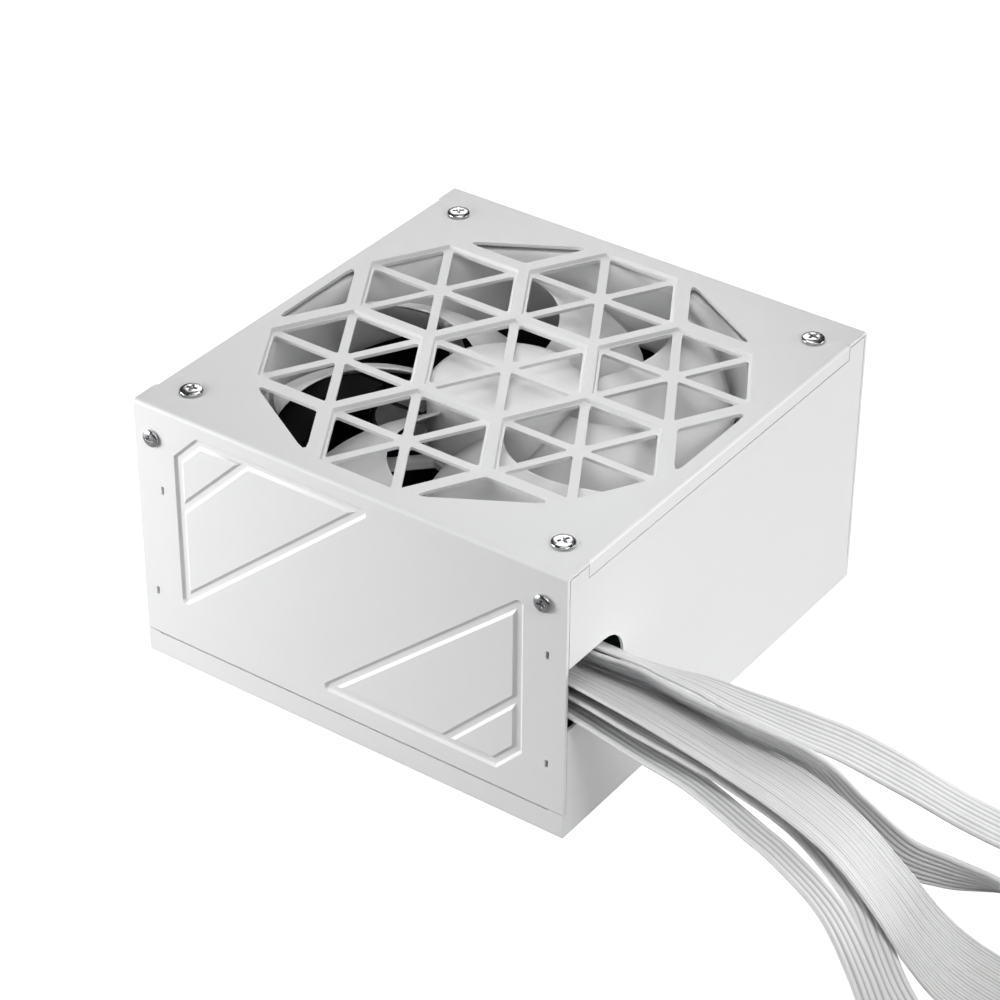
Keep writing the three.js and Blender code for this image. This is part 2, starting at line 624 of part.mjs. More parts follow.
function mainsPin([y, z]) {
  const outline = roundedRectangle(-1, 1, -2, 2, 0.6);
  const geometry = extrude(outline, INLET_DEPTH + 3, 2);
  const turn = new THREE.Matrix4().makeBasis(
    new THREE.Vector3(0, 1, 0), new THREE.Vector3(0, 0, 1), new THREE.Vector3(1, 0, 0));
  return solid(geometry.applyMatrix4(turn).translate(-HALF_X + PIN_SETBACK, INLET.y + y, INLET.z + z));
}

part('mains_inlet', mainsInlet(), blackPlastic);
for (const [name, place] of Object.entries(PINS)) part(`mains_pin_${name}`, mainsPin(place), chrome);

// ---------------------------------------------------------------- power switch
const ROCKER_TILT = THREE.MathUtils.degToRad(8);
const ROCKER_PIVOT = 4.4;        // depth of the pivot behind the wall's outer face
const ROCKER_HALF_Y = 5.6;
const ROCKER_HALF_Z = 8.2;
const SWITCH_DEPTH = 19;

function switchHousing() {
  const outer = -HALF_X;
  const rectangle = (halfY, halfZ, radius) => roundedRectangle(
    SWITCH.y - halfY, SWITCH.y + halfY, SWITCH.z - halfZ, SWITCH.z + halfZ, radius);
  const body = join(
    prismX(rectangle(SWITCH.halfY, SWITCH.halfZ, 1), outer, outer + SWITCH_DEPTH),
    prismX(rectangle(SWITCH.halfY + 2, SWITCH.halfZ + 2, 1), outer + SHEET + GAP, outer + SHEET + 2));
  const pocket = rectangle(ROCKER_HALF_Y + 0.4, ROCKER_HALF_Z + 0.9, 0.6);
  const pivotHole = new THREE.Shape();
  pivotHole.absarc(outer + ROCKER_PIVOT, SWITCH.z, 1.5, 0, 2 * Math.PI);
  return cut(body,
    prismX(pocket, outer - 1, outer + 11),
    prismY(pivotHole, SWITCH.y - ROCKER_HALF_Y - 1.5, SWITCH.y + ROCKER_HALF_Y + 1.5));
}

// drawn about its pivot: x runs into the case, the two thumb faces meet in a shallow valley
function rocker() {
  const face = -ROCKER_PIVOT + 2.2;
  const raised = -ROCKER_PIVOT + 1.3;
  const outline = new THREE.Shape();
  outline.moveTo(raised, -ROCKER_HALF_Z);
  outline.lineTo(2.2, -ROCKER_HALF_Z + 0.6);
  outline.quadraticCurveTo(5.6, 0, 2.2, ROCKER_HALF_Z - 0.6);
  outline.lineTo(raised, ROCKER_HALF_Z);
  outline.lineTo(face, 0);
  outline.closePath();
  const pivot = new THREE.Shape();
  pivot.absarc(0, 0, 1.2, 0, 2 * Math.PI);
  return join(
    prismY(outline, -ROCKER_HALF_Y, ROCKER_HALF_Y),
    prismY(pivot, -ROCKER_HALF_Y - 1, ROCKER_HALF_Y + 1));
}

part('switch_housing', switchHousing(), blackPlastic);
const rockerMesh = part('switch_rocker', rocker(), blackPlastic);
rockerMesh.position.set(-HALF_X + ROCKER_PIVOT, SWITCH.y, SWITCH.z);
rockerMesh.rotation.y = ROCKER_TILT;

// ---------------------------------------------------------------- circuit board and what it carries
function boardSheet(z0, z1, halfX, halfY, holeRadius) {
  const sheet = prismZ(roundedRectangle(-halfX, halfX, -halfY, halfY, 2), z0, z1);
  return cut(sheet, ...STANDOFFS.map(([x, y]) => cylinder(x, y, z0 - 1, z1 + 1, holeRadius, 16)));
}

// an upright plate with a folded top and fins on one side; `along` runs in X, thickness in Y
function heatsink(length, height, fins) {
  const plate = box(0, length, 0, 3, PARTS_Z, PARTS_Z + height);
  const top = box(0, length, 0, 16, PARTS_Z + height - 2, PARTS_Z + height);
  const ribs = [];
  for (let k = 0; k < fins; k += 1) {
    const x = (k + 0.5) * length / fins - 0.8;
    ribs.push(box(x, x + 1.6, 2, 13, PARTS_Z + height * 0.35, PARTS_Z + height - 1));
  }
  return cut(join(plate, top, ...ribs), cylinder(length * 0.32, 9, 0, HEIGHT, 3.4, 16));
}

function transformerCore() {
  const outer = box(-21, 21, -8, 8, PARTS_Z + 1, PARTS_Z + 37);
  const windows = [
    box(-15, -7, -9, 9, PARTS_Z + 7, PARTS_Z + 31),
    box(7, 15, -9, 9, PARTS_Z + 7, PARTS_Z + 31),
  ];
  return cut(outer, ...windows);
}

function transformerWinding() {
  const z0 = PARTS_Z + 7 + GAP;
  const z1 = PARTS_Z + 31 - GAP;
  const outer = prismZ(roundedRectangle(-14.6, 14.6, -16, 16, 5), z0, z1);
  return cut(outer, box(-7 - GAP, 7 + GAP, -8 - GAP, 8 + GAP, z0 - 1, z1 + 1));
}

function ringCoil(radius, thickness) {
  return solid(new THREE.TorusGeometry(radius, thickness, 7, 16));
}

function canCapacitor(radius, height) {
  const profile = [
    [0, 0], [radius, 0], [radius, height - 0.8], [radius - 0.8, height], [radius - 1.8, height - 0.4],
    [0, height - 0.4],
  ];
  const points = profile.map(([r, z]) => new THREE.Vector2(r, z));
  return solid(new THREE.LatheGeometry(points, 16).rotateX(Math.PI / 2));
}

function block(x, y, z) {
  return box(-x / 2, x / 2, -y / 2, y / 2, 0, z);
}

part('circuit_board', boardSheet(BOARD_Z, BOARD_Z + BOARD_THICKNESS, 67, 68, 1.7), boardGreen);
part('insulation_sheet', boardSheet(SHEET + GAP, SHEET + GAP + 0.5, 68, 70, 3.6), clearFilm);

// the primary heatsink stands along the inlet wall, with the bridge rectifier against its plate
const primaryHeatsink = part('primary_heatsink', heatsink(56, 45.5, 7), aluminium);
primaryHeatsink.position.set(-66, 8, 0);
primaryHeatsink.rotation.z = -Math.PI / 2;
const secondaryHeatsink = part('secondary_heatsink', heatsink(52, 38, 6), aluminium);
secondaryHeatsink.position.set(-8, -29, 0);

const boardParts = [
  ['transformer_core', transformerCore(), ferrite, 12, 8, 0],
  ['transformer_winding', transformerWinding(), tapeYellow, 12, 8, 0],
  ['bulk_capacitor', canCapacitor(15.5, 42), capacitorSleeve, -34, 6, PARTS_Z],
  ['common_mode_choke', ringCoil(10.5, 5), copper, -46, -30, PARTS_Z + 5],
  ['filter_capacitor', block(12, 26, 19), tapeYellow, -22, -49, PARTS_Z],
  ['bridge_rectifier', block(4.4, 24, 15), blackPlastic, -60.5, -8, PARTS_Z],
  ['standby_transformer', block(18, 16, 18), tapeYellow, -2, -52, PARTS_Z],
  ['output_toroid', ringCoil(9, 4.4), copper, 54, 44, PARTS_Z + 4.4],
  ['output_capacitor_1', canCapacitor(5, 24), capacitorSleeve, 54, -8, PARTS_Z],
  ['output_capacitor_2', canCapacitor(5, 24), capacitorSleeve, 54, 5, PARTS_Z],
  ['output_capacitor_3', canCapacitor(5, 24), capacitorSleeve, 54, 18, PARTS_Z],
];
for (const [name, body, look, x, y, z] of boardParts) part(name, body, look).position.set(x, y, z);

// ---------------------------------------------------------------- fan lead
const FAN_PLUG = { x: 24, y: -56 };
const LEAD_RADIUS = 1.1;
const LEAD_ROUTE = [[49, -62, FAN_BOTTOM - 1.6], [44, -60, FAN_BOTTOM - 3], [34, -57, 48], [27, -56, 34],
  [24, -56, 25], [24, -56, PARTS_Z + 8 + GAP]];

function fanLead() {
  const path = new THREE.CatmullRomCurve3(LEAD_ROUTE.map(([x, y, z]) => new THREE.Vector3(x, y, z)));
  const section = new THREE.Shape();
  section.absarc(0, 0, LEAD_RADIUS, 0, 2 * Math.PI);
  return solid(new THREE.ExtrudeGeometry(section, { steps: 14, extrudePath: path, curveSegments: 4 }));
}

part('fan_lead', fanLead(), blackPlastic);
part('fan_plug', block(8, 6, 8), whitePlastic).position.set(FAN_PLUG.x, FAN_PLUG.y, PARTS_Z);

// ---------------------------------------------------------------- output cables
// Flat ribbons of parallel wires. A route point is [x, y, z, tilt]: tilt turns the ribbon about its
// run, in degrees, and lifts its -Y edge. From HANK_FACE on, each cable lies folded on the ground.
const GUIDE_X = 57;              // face of the wire guide that the ribbons start from
const HANK_FACE = 218;
const TAIL = 26;                 // from the last fold to the connector

const CABLES = [
  {
    name: 'main_cable', width: 26, thickness: 1.2, fold: 7, run: 112, steps: 36,
    route: [
      [57.3, -61.7, 46.2, 27], [72.5, -61.8, 46, 27], [85, -62, 44.6, 26], [97.3, -62.2, 42.7, 25],
      [117.3, -62.2, 39.9, 24], [133.7, -62.2, 36.4, 21], [149.8, -62.2, 28.2, 19],
      [163.4, -62.2, 16.4, 16], [174, -62.2, 7.4, 9], [184, -62, 3, 3], [196, -62, 1.2, 0],
      [207, -62, 0.9, 0], [217.7, -62, 0.9, 0],
    ],
  },
  {
    name: 'processor_cable', width: 13.6, thickness: 1.5, fold: 6, run: 130, steps: 44,
    route: [
      [57.3, -58.2, 49.4, 53], [72.5, -58.2, 49.6, 53], [85, -58, 50.3, 53], [97, -57.2, 48.9, 53],
      [114, -55.5, 46.8, 53], [130, -49, 37.8, 56], [140, -44, 26, 68], [153, -38.5, 11.4, 84],
      [165, -34.5, 7.9, 78], [178, -30, 6.8, 55], [190, -27, 4.6, 28], [202, -24.6, 2.2, 8],
      [210, -24, 1.3, 0], [217.7, -24, 1.05, 0],
    ],
  },
  {
    name: 'graphics_cable', width: 13.6, thickness: 1.5, fold: 6, run: 118, steps: 40,
    route: [
      [57.3, -54.6, 51.2, 35], [72.5, -54.6, 51.4, 35], [85, -49.9, 47.6, 31], [97, -47, 46, 20],
      [108, -44.5, 43.4, 9], [123, -38.5, 38.4, -2], [134, -32.5, 33.2, -7], [147.6, -25, 24.5, -10],
      [160, -17, 14.5, -9], [172, -9.5, 6.6, -6], [184, -3.5, 2.6, -2], [197, 0, 1.2, 0],
      [207, 1, 1.05, 0], [217.7, 1, 1.05, 0],
    ],
  },
  {
    name: 'drive_cable', width: 9, thickness: 1.5, fold: 5, run: 80, steps: 40,
    route: [
      [57.3, -68.8, 45.3, 22], [72.5, -68.9, 45.2, 22], [92.4, -70, 42.4, 20], [108, -70, 40.7, 18],
      [123, -69, 37.6, 16], [142, -68, 29.8, 14], [159.5, -72, 19.3, 12], [168, -76, 10.8, 9],
      [177, -80.6, 5, 6], [187, -85, 2.1, 2], [198, -88.8, 1.2, 0], [208, -90, 1.05, 0],
      [217.7, -90, 1.05, 0],
    ],
  },
  {
    name: 'peripheral_cable', width: 9, thickness: 1.5, fold: 5, run: 84, steps: 40,
    route: [
      [57.3, -69, 40.2, 11], [72.5, -69.2, 40.2, 11], [94.8, -71, 37.8, 11], [113, -73.4, 37, 11],
      [132.6, -78.2, 35.2, 10], [142.5, -79.6, 33, 10], [159.2, -84.2, 25.6, 9], [172, -89, 14.2, 7],
      [184, -97.5, 6.4, 4], [195, -106.5, 2.4, 1], [206, -112.6, 1.2, 0], [212, -114, 1.05, 0],
      [217.7, -114, 1.05, 0],
    ],
  },
];

function wireGuide() {
  const body = box(GUIDE_X - 7, GUIDE_X, -72.3, -47.8, PARTS_Z, 56.4);
  return cut(body, box(GUIDE_X - 5, GUIDE_X - 2, -73, -47, PARTS_Z - 1, PARTS_Z + 22));
}

// a flat band bent along its route
function ribbon({ width, thickness, route, steps }) {
  const centre = new THREE.CatmullRomCurve3(
    route.map(([x, y, z]) => new THREE.Vector3(x, y, z)), false, 'catmullrom', 0.5);
  const tilts = new THREE.CatmullRomCurve3(
    route.map((point) => new THREE.Vector3(point[3], 0, 0)), false, 'catmullrom', 0.5);
  const geometry = new THREE.BoxGeometry(1, width, thickness, steps, 1, 1);
  const position = geometry.attributes.position;
  const vertical = new THREE.Vector3(0, 0, 1);
  for (let i = 0; i < position.count; i += 1) {
    const t = position.getX(i) + 0.5;
    const tilt = THREE.MathUtils.degToRad(tilts.getPoint(t).x);
    const tangent = centre.getTangent(t);
    const level = vertical.clone().cross(tangent).normalize();
    const upright = tangent.clone().cross(level);
    const across = level.clone().multiplyScalar(Math.cos(tilt)).addScaledVector(upright, -Math.sin(tilt));
    const normal = tangent.clone().cross(across);
    const point = centre.getPoint(t)
      .addScaledVector(across, position.getY(i))
      .addScaledVector(normal, position.getZ(i));
    position.setXYZ(i, point.x, point.y, point.z);
  }
  return solid(geometry);
}

// outer shape of the folded length: three runs stacked between two folds, then a tail to the plug
function hank({ width, thickness, fold, run, route }) {
  const y = route[route.length - 1][1];
  const bottom = GAP;
  const top = bottom + 4 * fold + thickness + GAP;
  const lastFold = HANK_FACE + fold + thickness + run;
  const end = lastFold + fold + TAIL;
  const outline = new THREE.Shape();
  outline.moveTo(HANK_FACE, bottom);
  outline.lineTo(end, bottom);
  outline.lineTo(end, 8);
  outline.lineTo(lastFold + fold, top - 1);
  outline.quadraticCurveTo(lastFold + fold / 2, top, lastFold, top);
  outline.lineTo(HANK_FACE + fold, top);
  outline.quadraticCurveTo(HANK_FACE, top, HANK_FACE, top - fold);
  outline.closePath();
  return prismY(outline, y - width / 2 - 0.2, y + width / 2 + 0.2);
}

function hankEnd({ fold, run, thickness }) {
  return HANK_FACE + fold + thickness + run + fold + TAIL + GAP;
}

for (const cable of CABLES) {
  part(cable.name, ribbon(cable), cableWhite);
  part(`${cable.name}_hank`, hank(cable), cableWhite);
}
part('wire_guide', wireGuide(), blackPlastic);

// ---------------------------------------------------------------- cable connectors
const PIN_PITCH = 4.2;
const PLUG_HEIGHT = 9.6;
const PLUG_DEPTH = 14;

// a two-row power plug of `columns` x 2 sockets with a latch on top, open towards +X
function rowPlug(columns) {
  const width = columns * PIN_PITCH + 0.9;
  const latch = Math.min(3, width / 2 - 0.4);
  let body = join(
    box(0, PLUG_DEPTH, -width / 2, width / 2, 0, PLUG_HEIGHT),
    box(0.8, 3.4, -latch, latch, PLUG_HEIGHT - 0.5, PLUG_HEIGHT + 1.6),
    box(0.8, 12.8, -latch, latch, PLUG_HEIGHT + 1, PLUG_HEIGHT + 2.2),
    box(11.2, 12.8, -latch, latch, PLUG_HEIGHT + 0.5, PLUG_HEIGHT + 2.2));
  for (let column = 0; column < columns; column += 1) {
    const y = (column - (columns - 1) / 2) * PIN_PITCH;
    for (const z of [2.7, 6.9]) {
      body = cut(body, box(3, PLUG_DEPTH + 1, y - 1.45, y + 1.45, z - 1.45, z + 1.45));
    }
  }
  return body;
}

// a serial-drive power plug with an L-shaped slot, open towards +X
function drivePlug() {
  const body = join(box(0, 14, -11.8, 11.8, 0, 6.4), box(0, 6, -9.5, 9.5, 0, 8));
  return cut(body,
    box(8, 15, -10.2, 10.2, 2.1, 3.6),
    box(8, 15, -10.2, -8.6, 2.1, 5.2));
}

// a four-pin peripheral plug with two chamfered corners, open towards +X
function peripheralPlug() {
  const outline = roundedOutline([
    [-10.4, 0], [10.4, 0], [10.4, 4.6], [8.4, 6.6], [-8.4, 6.6], [-10.4, 4.6],
  ].map(([y, z]) => new THREE.Vector2(y, z)), 0.4);
  let body = prismX(outline, 0, 15);
  for (let k = 0; k < 4; k += 1) {
    const y = (k - 1.5) * 5.08;
    body = cut(body, box(4, 16, y - 1.7, y + 1.7, 1.6, 5));
  }
  return body;
}

const [mainCable, processorCable, graphicsCable, driveCable, peripheralCable] = CABLES;
const PLUGS = [
  ['main_plug', rowPlug(12), mainCable, 0],
  ['processor_plug_a', rowPlug(2), processorCable, -4.9],
  ['processor_plug_b', rowPlug(2), processorCable, 4.9],
  ['graphics_plug', rowPlug(3), graphicsCable, -2.6],
  ['graphics_plug_extra', rowPlug(1), graphicsCable, 7],
  ['drive_plug', drivePlug(), driveCable, 0],
  ['peripheral_plug', peripheralPlug(), peripheralCable, 0],
];
for (const [name, body, cable, offset] of PLUGS) {
  const lane = cable.route[cable.route.length - 1][1];
  part(name, body, whitePlastic).position.set(hankEnd(cable), lane + offset, GAP);
}

export default unit;
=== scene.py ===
"""Looks of an ATX power supply with a honeycomb fan grille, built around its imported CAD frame.

Metres, +Z up, origin at the bottom centre of the case. +X is the wall that the cables leave by.
"""

import math
import random

import bmesh
import bpy
from mathutils import Matrix, Vector


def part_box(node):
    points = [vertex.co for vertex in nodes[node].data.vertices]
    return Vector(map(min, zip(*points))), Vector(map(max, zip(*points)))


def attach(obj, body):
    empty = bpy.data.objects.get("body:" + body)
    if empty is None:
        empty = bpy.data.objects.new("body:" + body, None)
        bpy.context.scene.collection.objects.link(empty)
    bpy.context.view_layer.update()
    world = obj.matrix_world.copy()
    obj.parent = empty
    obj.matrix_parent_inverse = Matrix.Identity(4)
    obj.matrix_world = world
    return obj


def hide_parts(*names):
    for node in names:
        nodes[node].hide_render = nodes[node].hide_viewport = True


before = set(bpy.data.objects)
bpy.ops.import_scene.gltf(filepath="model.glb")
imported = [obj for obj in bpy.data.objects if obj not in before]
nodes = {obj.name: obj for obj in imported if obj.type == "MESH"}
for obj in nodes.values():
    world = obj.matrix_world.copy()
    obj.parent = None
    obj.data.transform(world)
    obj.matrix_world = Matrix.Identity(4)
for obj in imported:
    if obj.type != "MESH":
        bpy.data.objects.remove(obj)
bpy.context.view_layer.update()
MM = 0.001
X_AXIS = Vector((1, 0, 0))
Y_AXIS = Vector((0, 1, 0))
Z_AXIS = Vector((0, 0, 1))


# ---------------------------------------------------------------- camera
CAMERA_AZIMUTH = math.radians(35.41)
CAMERA_ELEVATION = math.radians(34.141)
CAMERA_ROLL = math.radians(0.315)
CAMERA_DISTANCE = 905.3 * MM
CAMERA_TARGET = Vector((-2.0, -0.06, 39.37)) * MM
LENS = 113.18


def add_camera():
    data = bpy.data.cameras.new("camera")
    data.sensor_width = 36
    data.lens = LENS
    data.clip_start = 0.01
    data.clip_end = 50
    camera = bpy.data.objects.new("camera", data)
    bpy.context.scene.collection.objects.link(camera)
    level = math.cos(CAMERA_ELEVATION)
    back = Vector((
        math.sin(CAMERA_AZIMUTH) * level,
        -math.cos(CAMERA_AZIMUTH) * level,
        math.sin(CAMERA_ELEVATION),
    ))
    right = Vector((math.cos(CAMERA_AZIMUTH), math.sin(CAMERA_AZIMUTH), 0))
    up = back.cross(right)
    across = right * math.cos(CAMERA_ROLL) + up * math.sin(CAMERA_ROLL)
    upward = up * math.cos(CAMERA_ROLL) - right * math.sin(CAMERA_ROLL)
    turn = Matrix((across, upward, back)).transposed().to_4x4()
    place = CAMERA_TARGET + back * CAMERA_DISTANCE
    camera.matrix_world = Matrix.Translation(place) @ turn
    bpy.context.scene.camera = camera


add_camera()


# ---------------------------------------------------------------- mesh building
def new_object(name, mesh):
    piece = bpy.data.objects.new(name, mesh)
    bpy.context.scene.collection.objects.link(piece)
    return piece


def piece_from(name, vertices, faces, smooth=True):
    """A new object from vertices in metres."""
    mesh = bpy.data.meshes.new(name)
    mesh.from_pydata([tuple(v) for v in vertices], [], faces)
    mesh.validate()
    mesh.update()
    if smooth:
        mesh.shade_smooth()
    return new_object(name, mesh)


def face_outward(piece):
    mesh = bmesh.new()
    mesh.from_mesh(piece.data)
    bmesh.ops.recalc_face_normals(mesh, faces=mesh.faces)
    mesh.to_mesh(piece.data)
    mesh.free()


class Build:
    """Vertices and faces gathered from several closed forms, in millimetres."""

    def __init__(self):
        self.vertices = []
        self.faces = []

    def add(self, vertices, faces):
        start = len(self.vertices)
        self.vertices.extend(vertices)
        self.faces.extend(tuple(start + i for i in face) for face in faces)

    def rings(self, rings, closed=False):
        """A tube through rings of points; it is capped at both ends unless it closes on itself."""
        count = len(rings[0])
        faces = []
        last = len(rings) if closed else len(rings) - 1
        for i in range(last):
            j = (i + 1) % len(rings)
            for k in range(count):
                m = (k + 1) % count
                faces.append((i * count + k, i * count + m, j * count + m, j * count + k))
        if not closed:
            faces.append(tuple(reversed(range(count))))
            faces.append(tuple((len(rings) - 1) * count + k for k in range(count)))
        self.add([v for ring in rings for v in ring], faces)

    def lathe(self, profile, segments, place=Matrix.Identity(4)):
        """Turns (radius, height) points about Z. The profile runs from axis to axis, bottom first."""
        rings = []
        for radius, height in profile[1:-1]:
            ring = []
            for k in range(segments):
                angle = 2 * math.pi * k / segments
                ring.append(Vector((radius * math.cos(angle), radius * math.sin(angle), height)))
            rings.append(ring)
        vertices = [v for ring in rings for v in ring]
        faces = []
        for i in range(len(rings) - 1):
            for k in range(segments):
                m = (k + 1) % segments
                base = i * segments
                faces.append((base + k, base + m, base + segments + m, base + segments + k))
        bottom = len(vertices)
        vertices.append(Vector((0, 0, profile[0][1])))
        vertices.append(Vector((0, 0, profile[-1][1])))
        top_ring = (len(rings) - 1) * segments
        for k in range(segments):
            m = (k + 1) % segments
            faces.append((bottom, m, k))
            faces.append((bottom + 1, top_ring + k, top_ring + m))
        self.add([place @ v for v in vertices], faces)

    def prism(self, outline, low, high, place=Matrix.Identity(4)):
        """A flat outline of (x, y) points, counter-clockwise, raised from low to high."""
        bottom = [place @ Vector((x, y, low)) for x, y in outline]
        top = [place @ Vector((x, y, high)) for x, y in outline]
        self.rings([bottom, top])

    def block(self, low, high):
        """A box between two corners."""
        outline = [(low[0], low[1]), (high[0], low[1]), (high[0], high[1]), (low[0], high[1])]
        self.prism(outline, low[2], high[2])

    def piece(self, name, smooth=True):
        return piece_from(name, [v * MM for v in self.vertices], self.faces, smooth)


def circle(radius, segments, x=0.0, y=0.0):
    points = []
    for k in range(segments):
        angle = 2 * math.pi * k / segments
        points.append((x + radius * math.cos(angle), y + radius * math.sin(angle)))
    return points


def rounded_rectangle(half_x, half_y, radius, steps=6):
    """A counter-clockwise rectangle about the origin with round corners."""
    points = []
    for corner in range(4):
        side_x = 1 if corner in (0, 3) else -1
        side_y = 1 if corner in (0, 1) else -1
        for k in range(steps + 1):
            angle = (corner + k / steps) * math.pi / 2
            x = side_x * (half_x - radius) + radius * math.cos(angle)
            y = side_y * (half_y - radius) + radius * math.sin(angle)
            points.append((x, y))
    return points


def carve(piece, cutters, operation="DIFFERENCE"):
    """Cuts the cutters out of a piece, or joins them to it, for good, and removes them."""
    for cutter in cutters:
        modifier = piece.modifiers.new("carve", "BOOLEAN")
        modifier.operation = operation
        modifier.solver = "EXACT"
        modifier.object = cutter
    depsgraph = bpy.context.evaluated_depsgraph_get()
    mesh = bpy.data.meshes.new_from_object(piece.evaluated_get(depsgraph))
    piece.modifiers.clear()
    piece.data = mesh
    for cutter in cutters:
        bpy.data.objects.remove(cutter)


WELD_REACH = 0.002               # vertices nearer than this are one, in millimetres


def soften(piece, width, segments=2, angle=35):
    """Rounds the edges sharper than angle, by a width in millimetres, and shades the rest smoothly."""
    weld = piece.modifiers.new("weld", "WELD")
    weld.merge_threshold = WELD_REACH * MM
    bevel = piece.modifiers.new("bevel", "BEVEL")
    bevel.width = width * MM
    bevel.segments = segments
    bevel.limit_method = "ANGLE"
    bevel.angle_limit = math.radians(angle)
    weighted = piece.modifiers.new("weighted", "WEIGHTED_NORMAL")
    weighted.mode = "FACE_AREA"
    weighted.weight = 100
    piece.data.shade_smooth()


# ---------------------------------------------------------------- ribbon cables
# Flat ribbons of parallel wires, in millimetres. A route point is (x, y, z, tilt): tilt turns the
# ribbon about its run, in degrees, and lifts its -Y edge. The routes follow the CAD solids, with a
# slightly different sag. After its route a ribbon is folded three deep on the ground and tied, and
# its wires spread to a plug.
HANK_FACE = 218.0                # x where the routes end and the folded lengths begin
TAIL = 26.0                      # from the last fold to the back of the plug
GROUND_GAP = 0.3
EXIT_X = 72.5                    # outer face of the cable wall
ROUTE_STEPS = 12                 # points between two route points
RUN_STEPS = 40                   # points along a run of the folded length
FOLD_STEPS = 14
TAIL_STEPS = 24
PINCH_SHARE = 0.34               # half length of the stretch that a tie draws in, as a share of a run
SPLIT_SHARE = 0.42               # share of the tail that is still a ribbon
TIE_THICKNESS = 0.9
TIE_WIDTH = 9.0
TIE_EDGE = 0.16                  # worn edge of the strap
TIGHT_GAP = 0.35                 # between two runs where the tie draws them together
TONGUE_THICKNESS = 0.55          # of the strap's loose end
TONGUE_STEPS = 12
WIRE_SIDES = 12
WIRE_RADIUS = 0.8                # of a wire on its own, near its plug
LOBE_STEPS = 6                   # points across one wire of the fused ribbon
GROOVE_SHADE_SHARPNESS = 3               # a higher power makes the painted shade line between two wires thinner
GROOVE_SHARE = 0.62              # height left in the groove between two wires, as a share of a wire
EDGE_HEIGHT = 0.12               # height left at the ribbon's two edges, as a share of a wire
WIRE_WANDER = 0.13               # how far a wire strays out of the ribbon's plane
WANDER_STEP = 24.0               # distance between two random values of that stray
FIRST_SEED = 11

CABLES = {
    "main": {
        "width": 26, "thickness": 1.2, "wires": 24, "fold": 7, "run": 112, "length": 0.60,
        "route": [
            (57.3, -61.7, 46.2, 27), (72.5, -61.8, 46.3, 25), (85, -62, 46.2, 21),
            (97.3, -62.2, 44.9, 20), (117.3, -62.2, 41.2, 19), (133.7, -62.2, 37.8, 17),
            (149.8, -62.2, 31.2, 17), (163.4, -62.2, 20.6, 15), (174, -62.2, 10.6, 10),
            (184, -62, 4.2, 4), (196, -62, 1.3, 0), (207, -62, 0.9, 0), (217.7, -62, 0.9, 0),
        ],
        "plugs": ["main_plug"],
    },
    "processor": {
        "width": 13.6, "thickness": 1.5, "wires": 8, "fold": 6, "run": 130, "length": 0.65,
        "route": [
            (57.3, -58.2, 49.4, 53), (72.5, -58.2, 49.6, 53), (85, -58, 50.3, 53),
            (97, -57.2, 48.3, 53), (114, -55.5, 45.8, 53), (130, -49, 38.4, 56),
            (140, -44, 26, 68), (153, -38.5, 11.4, 84), (165, -34.5, 7.9, 78),
            (178, -30, 6.8, 55), (190, -27, 4.6, 28), (202, -24.6, 2.2, 8), (210, -24, 1.3, 0),
            (217.7, -24, 1.05, 0),
        ],
        "plugs": ["processor_plug_a", "processor_plug_b"],
    },
    "graphics": {
        "width": 13.6, "thickness": 1.5, "wires": 8, "fold": 6, "run": 118, "length": 0.60,
        "route": [
            (57.3, -54.6, 51.2, 35), (72.5, -54.6, 51.4, 35), (85, -49.9, 47.6, 31),
            (97, -47, 46, 20), (108, -44.5, 43.4, 9), (123, -38.5, 38.4, -2),
            (134, -32.5, 33.2, -7), (147.6, -25, 24.5, -10), (160, -17, 14.5, -9),
            (172, -9.5, 6.6, -6), (184, -3.5, 2.6, -2), (197, 0, 1.2, 0), (207, 1, 1.05, 0),
            (217.7, 1, 1.05, 0),
        ],
        "plugs": ["graphics_plug", "graphics_plug_extra"],
    },
    "drive": {
        "width": 9, "thickness": 1.5, "wires": 5, "fold": 5, "run": 80, "length": 0.47,
        "route": [
            (57.3, -68.8, 45.3, 22), (72.5, -68.9, 45.2, 22), (92.4, -70, 43.4, 20),
            (108, -70, 41.7, 18), (123, -69, 38.4, 16), (142, -68, 31.4, 14),
            (159.5, -72, 22.8, 12), (168, -76, 15.4, 9), (177, -80.6, 7.4, 6), (187, -85, 2.8, 2),
            (198, -88.8, 1.3, 0), (208, -90, 1.05, 0), (217.7, -90, 1.05, 0),
        ],
        "plugs": ["drive_plug"],
    },
    "peripheral": {
        "width": 9, "thickness": 1.5, "wires": 5, "fold": 5, "run": 84, "length": 0.48,
        "route": [
            (57.3, -69, 40.2, 11), (72.5, -69.2, 40.2, 11), (94.8, -71, 37.8, 11),
            (113, -73.4, 37, 11), (132.6, -78.2, 34.8, 10), (142.5, -80.4, 33, 10),
            (159.2, -84.8, 27.4, 9), (172, -90, 17.4, 7), (184, -97.8, 8.0, 4),
            (195, -106.5, 2.7, 1), (206, -112.6, 1.2, 0), (212, -114, 1.05, 0),
            (217.7, -114, 1.05, 0),
        ],
        "plugs": ["peripheral_plug"],
    },
}


def smooth_step(t):
    t = max(0.0, min(1.0, t))
    return t * t * (3 - 2 * t)


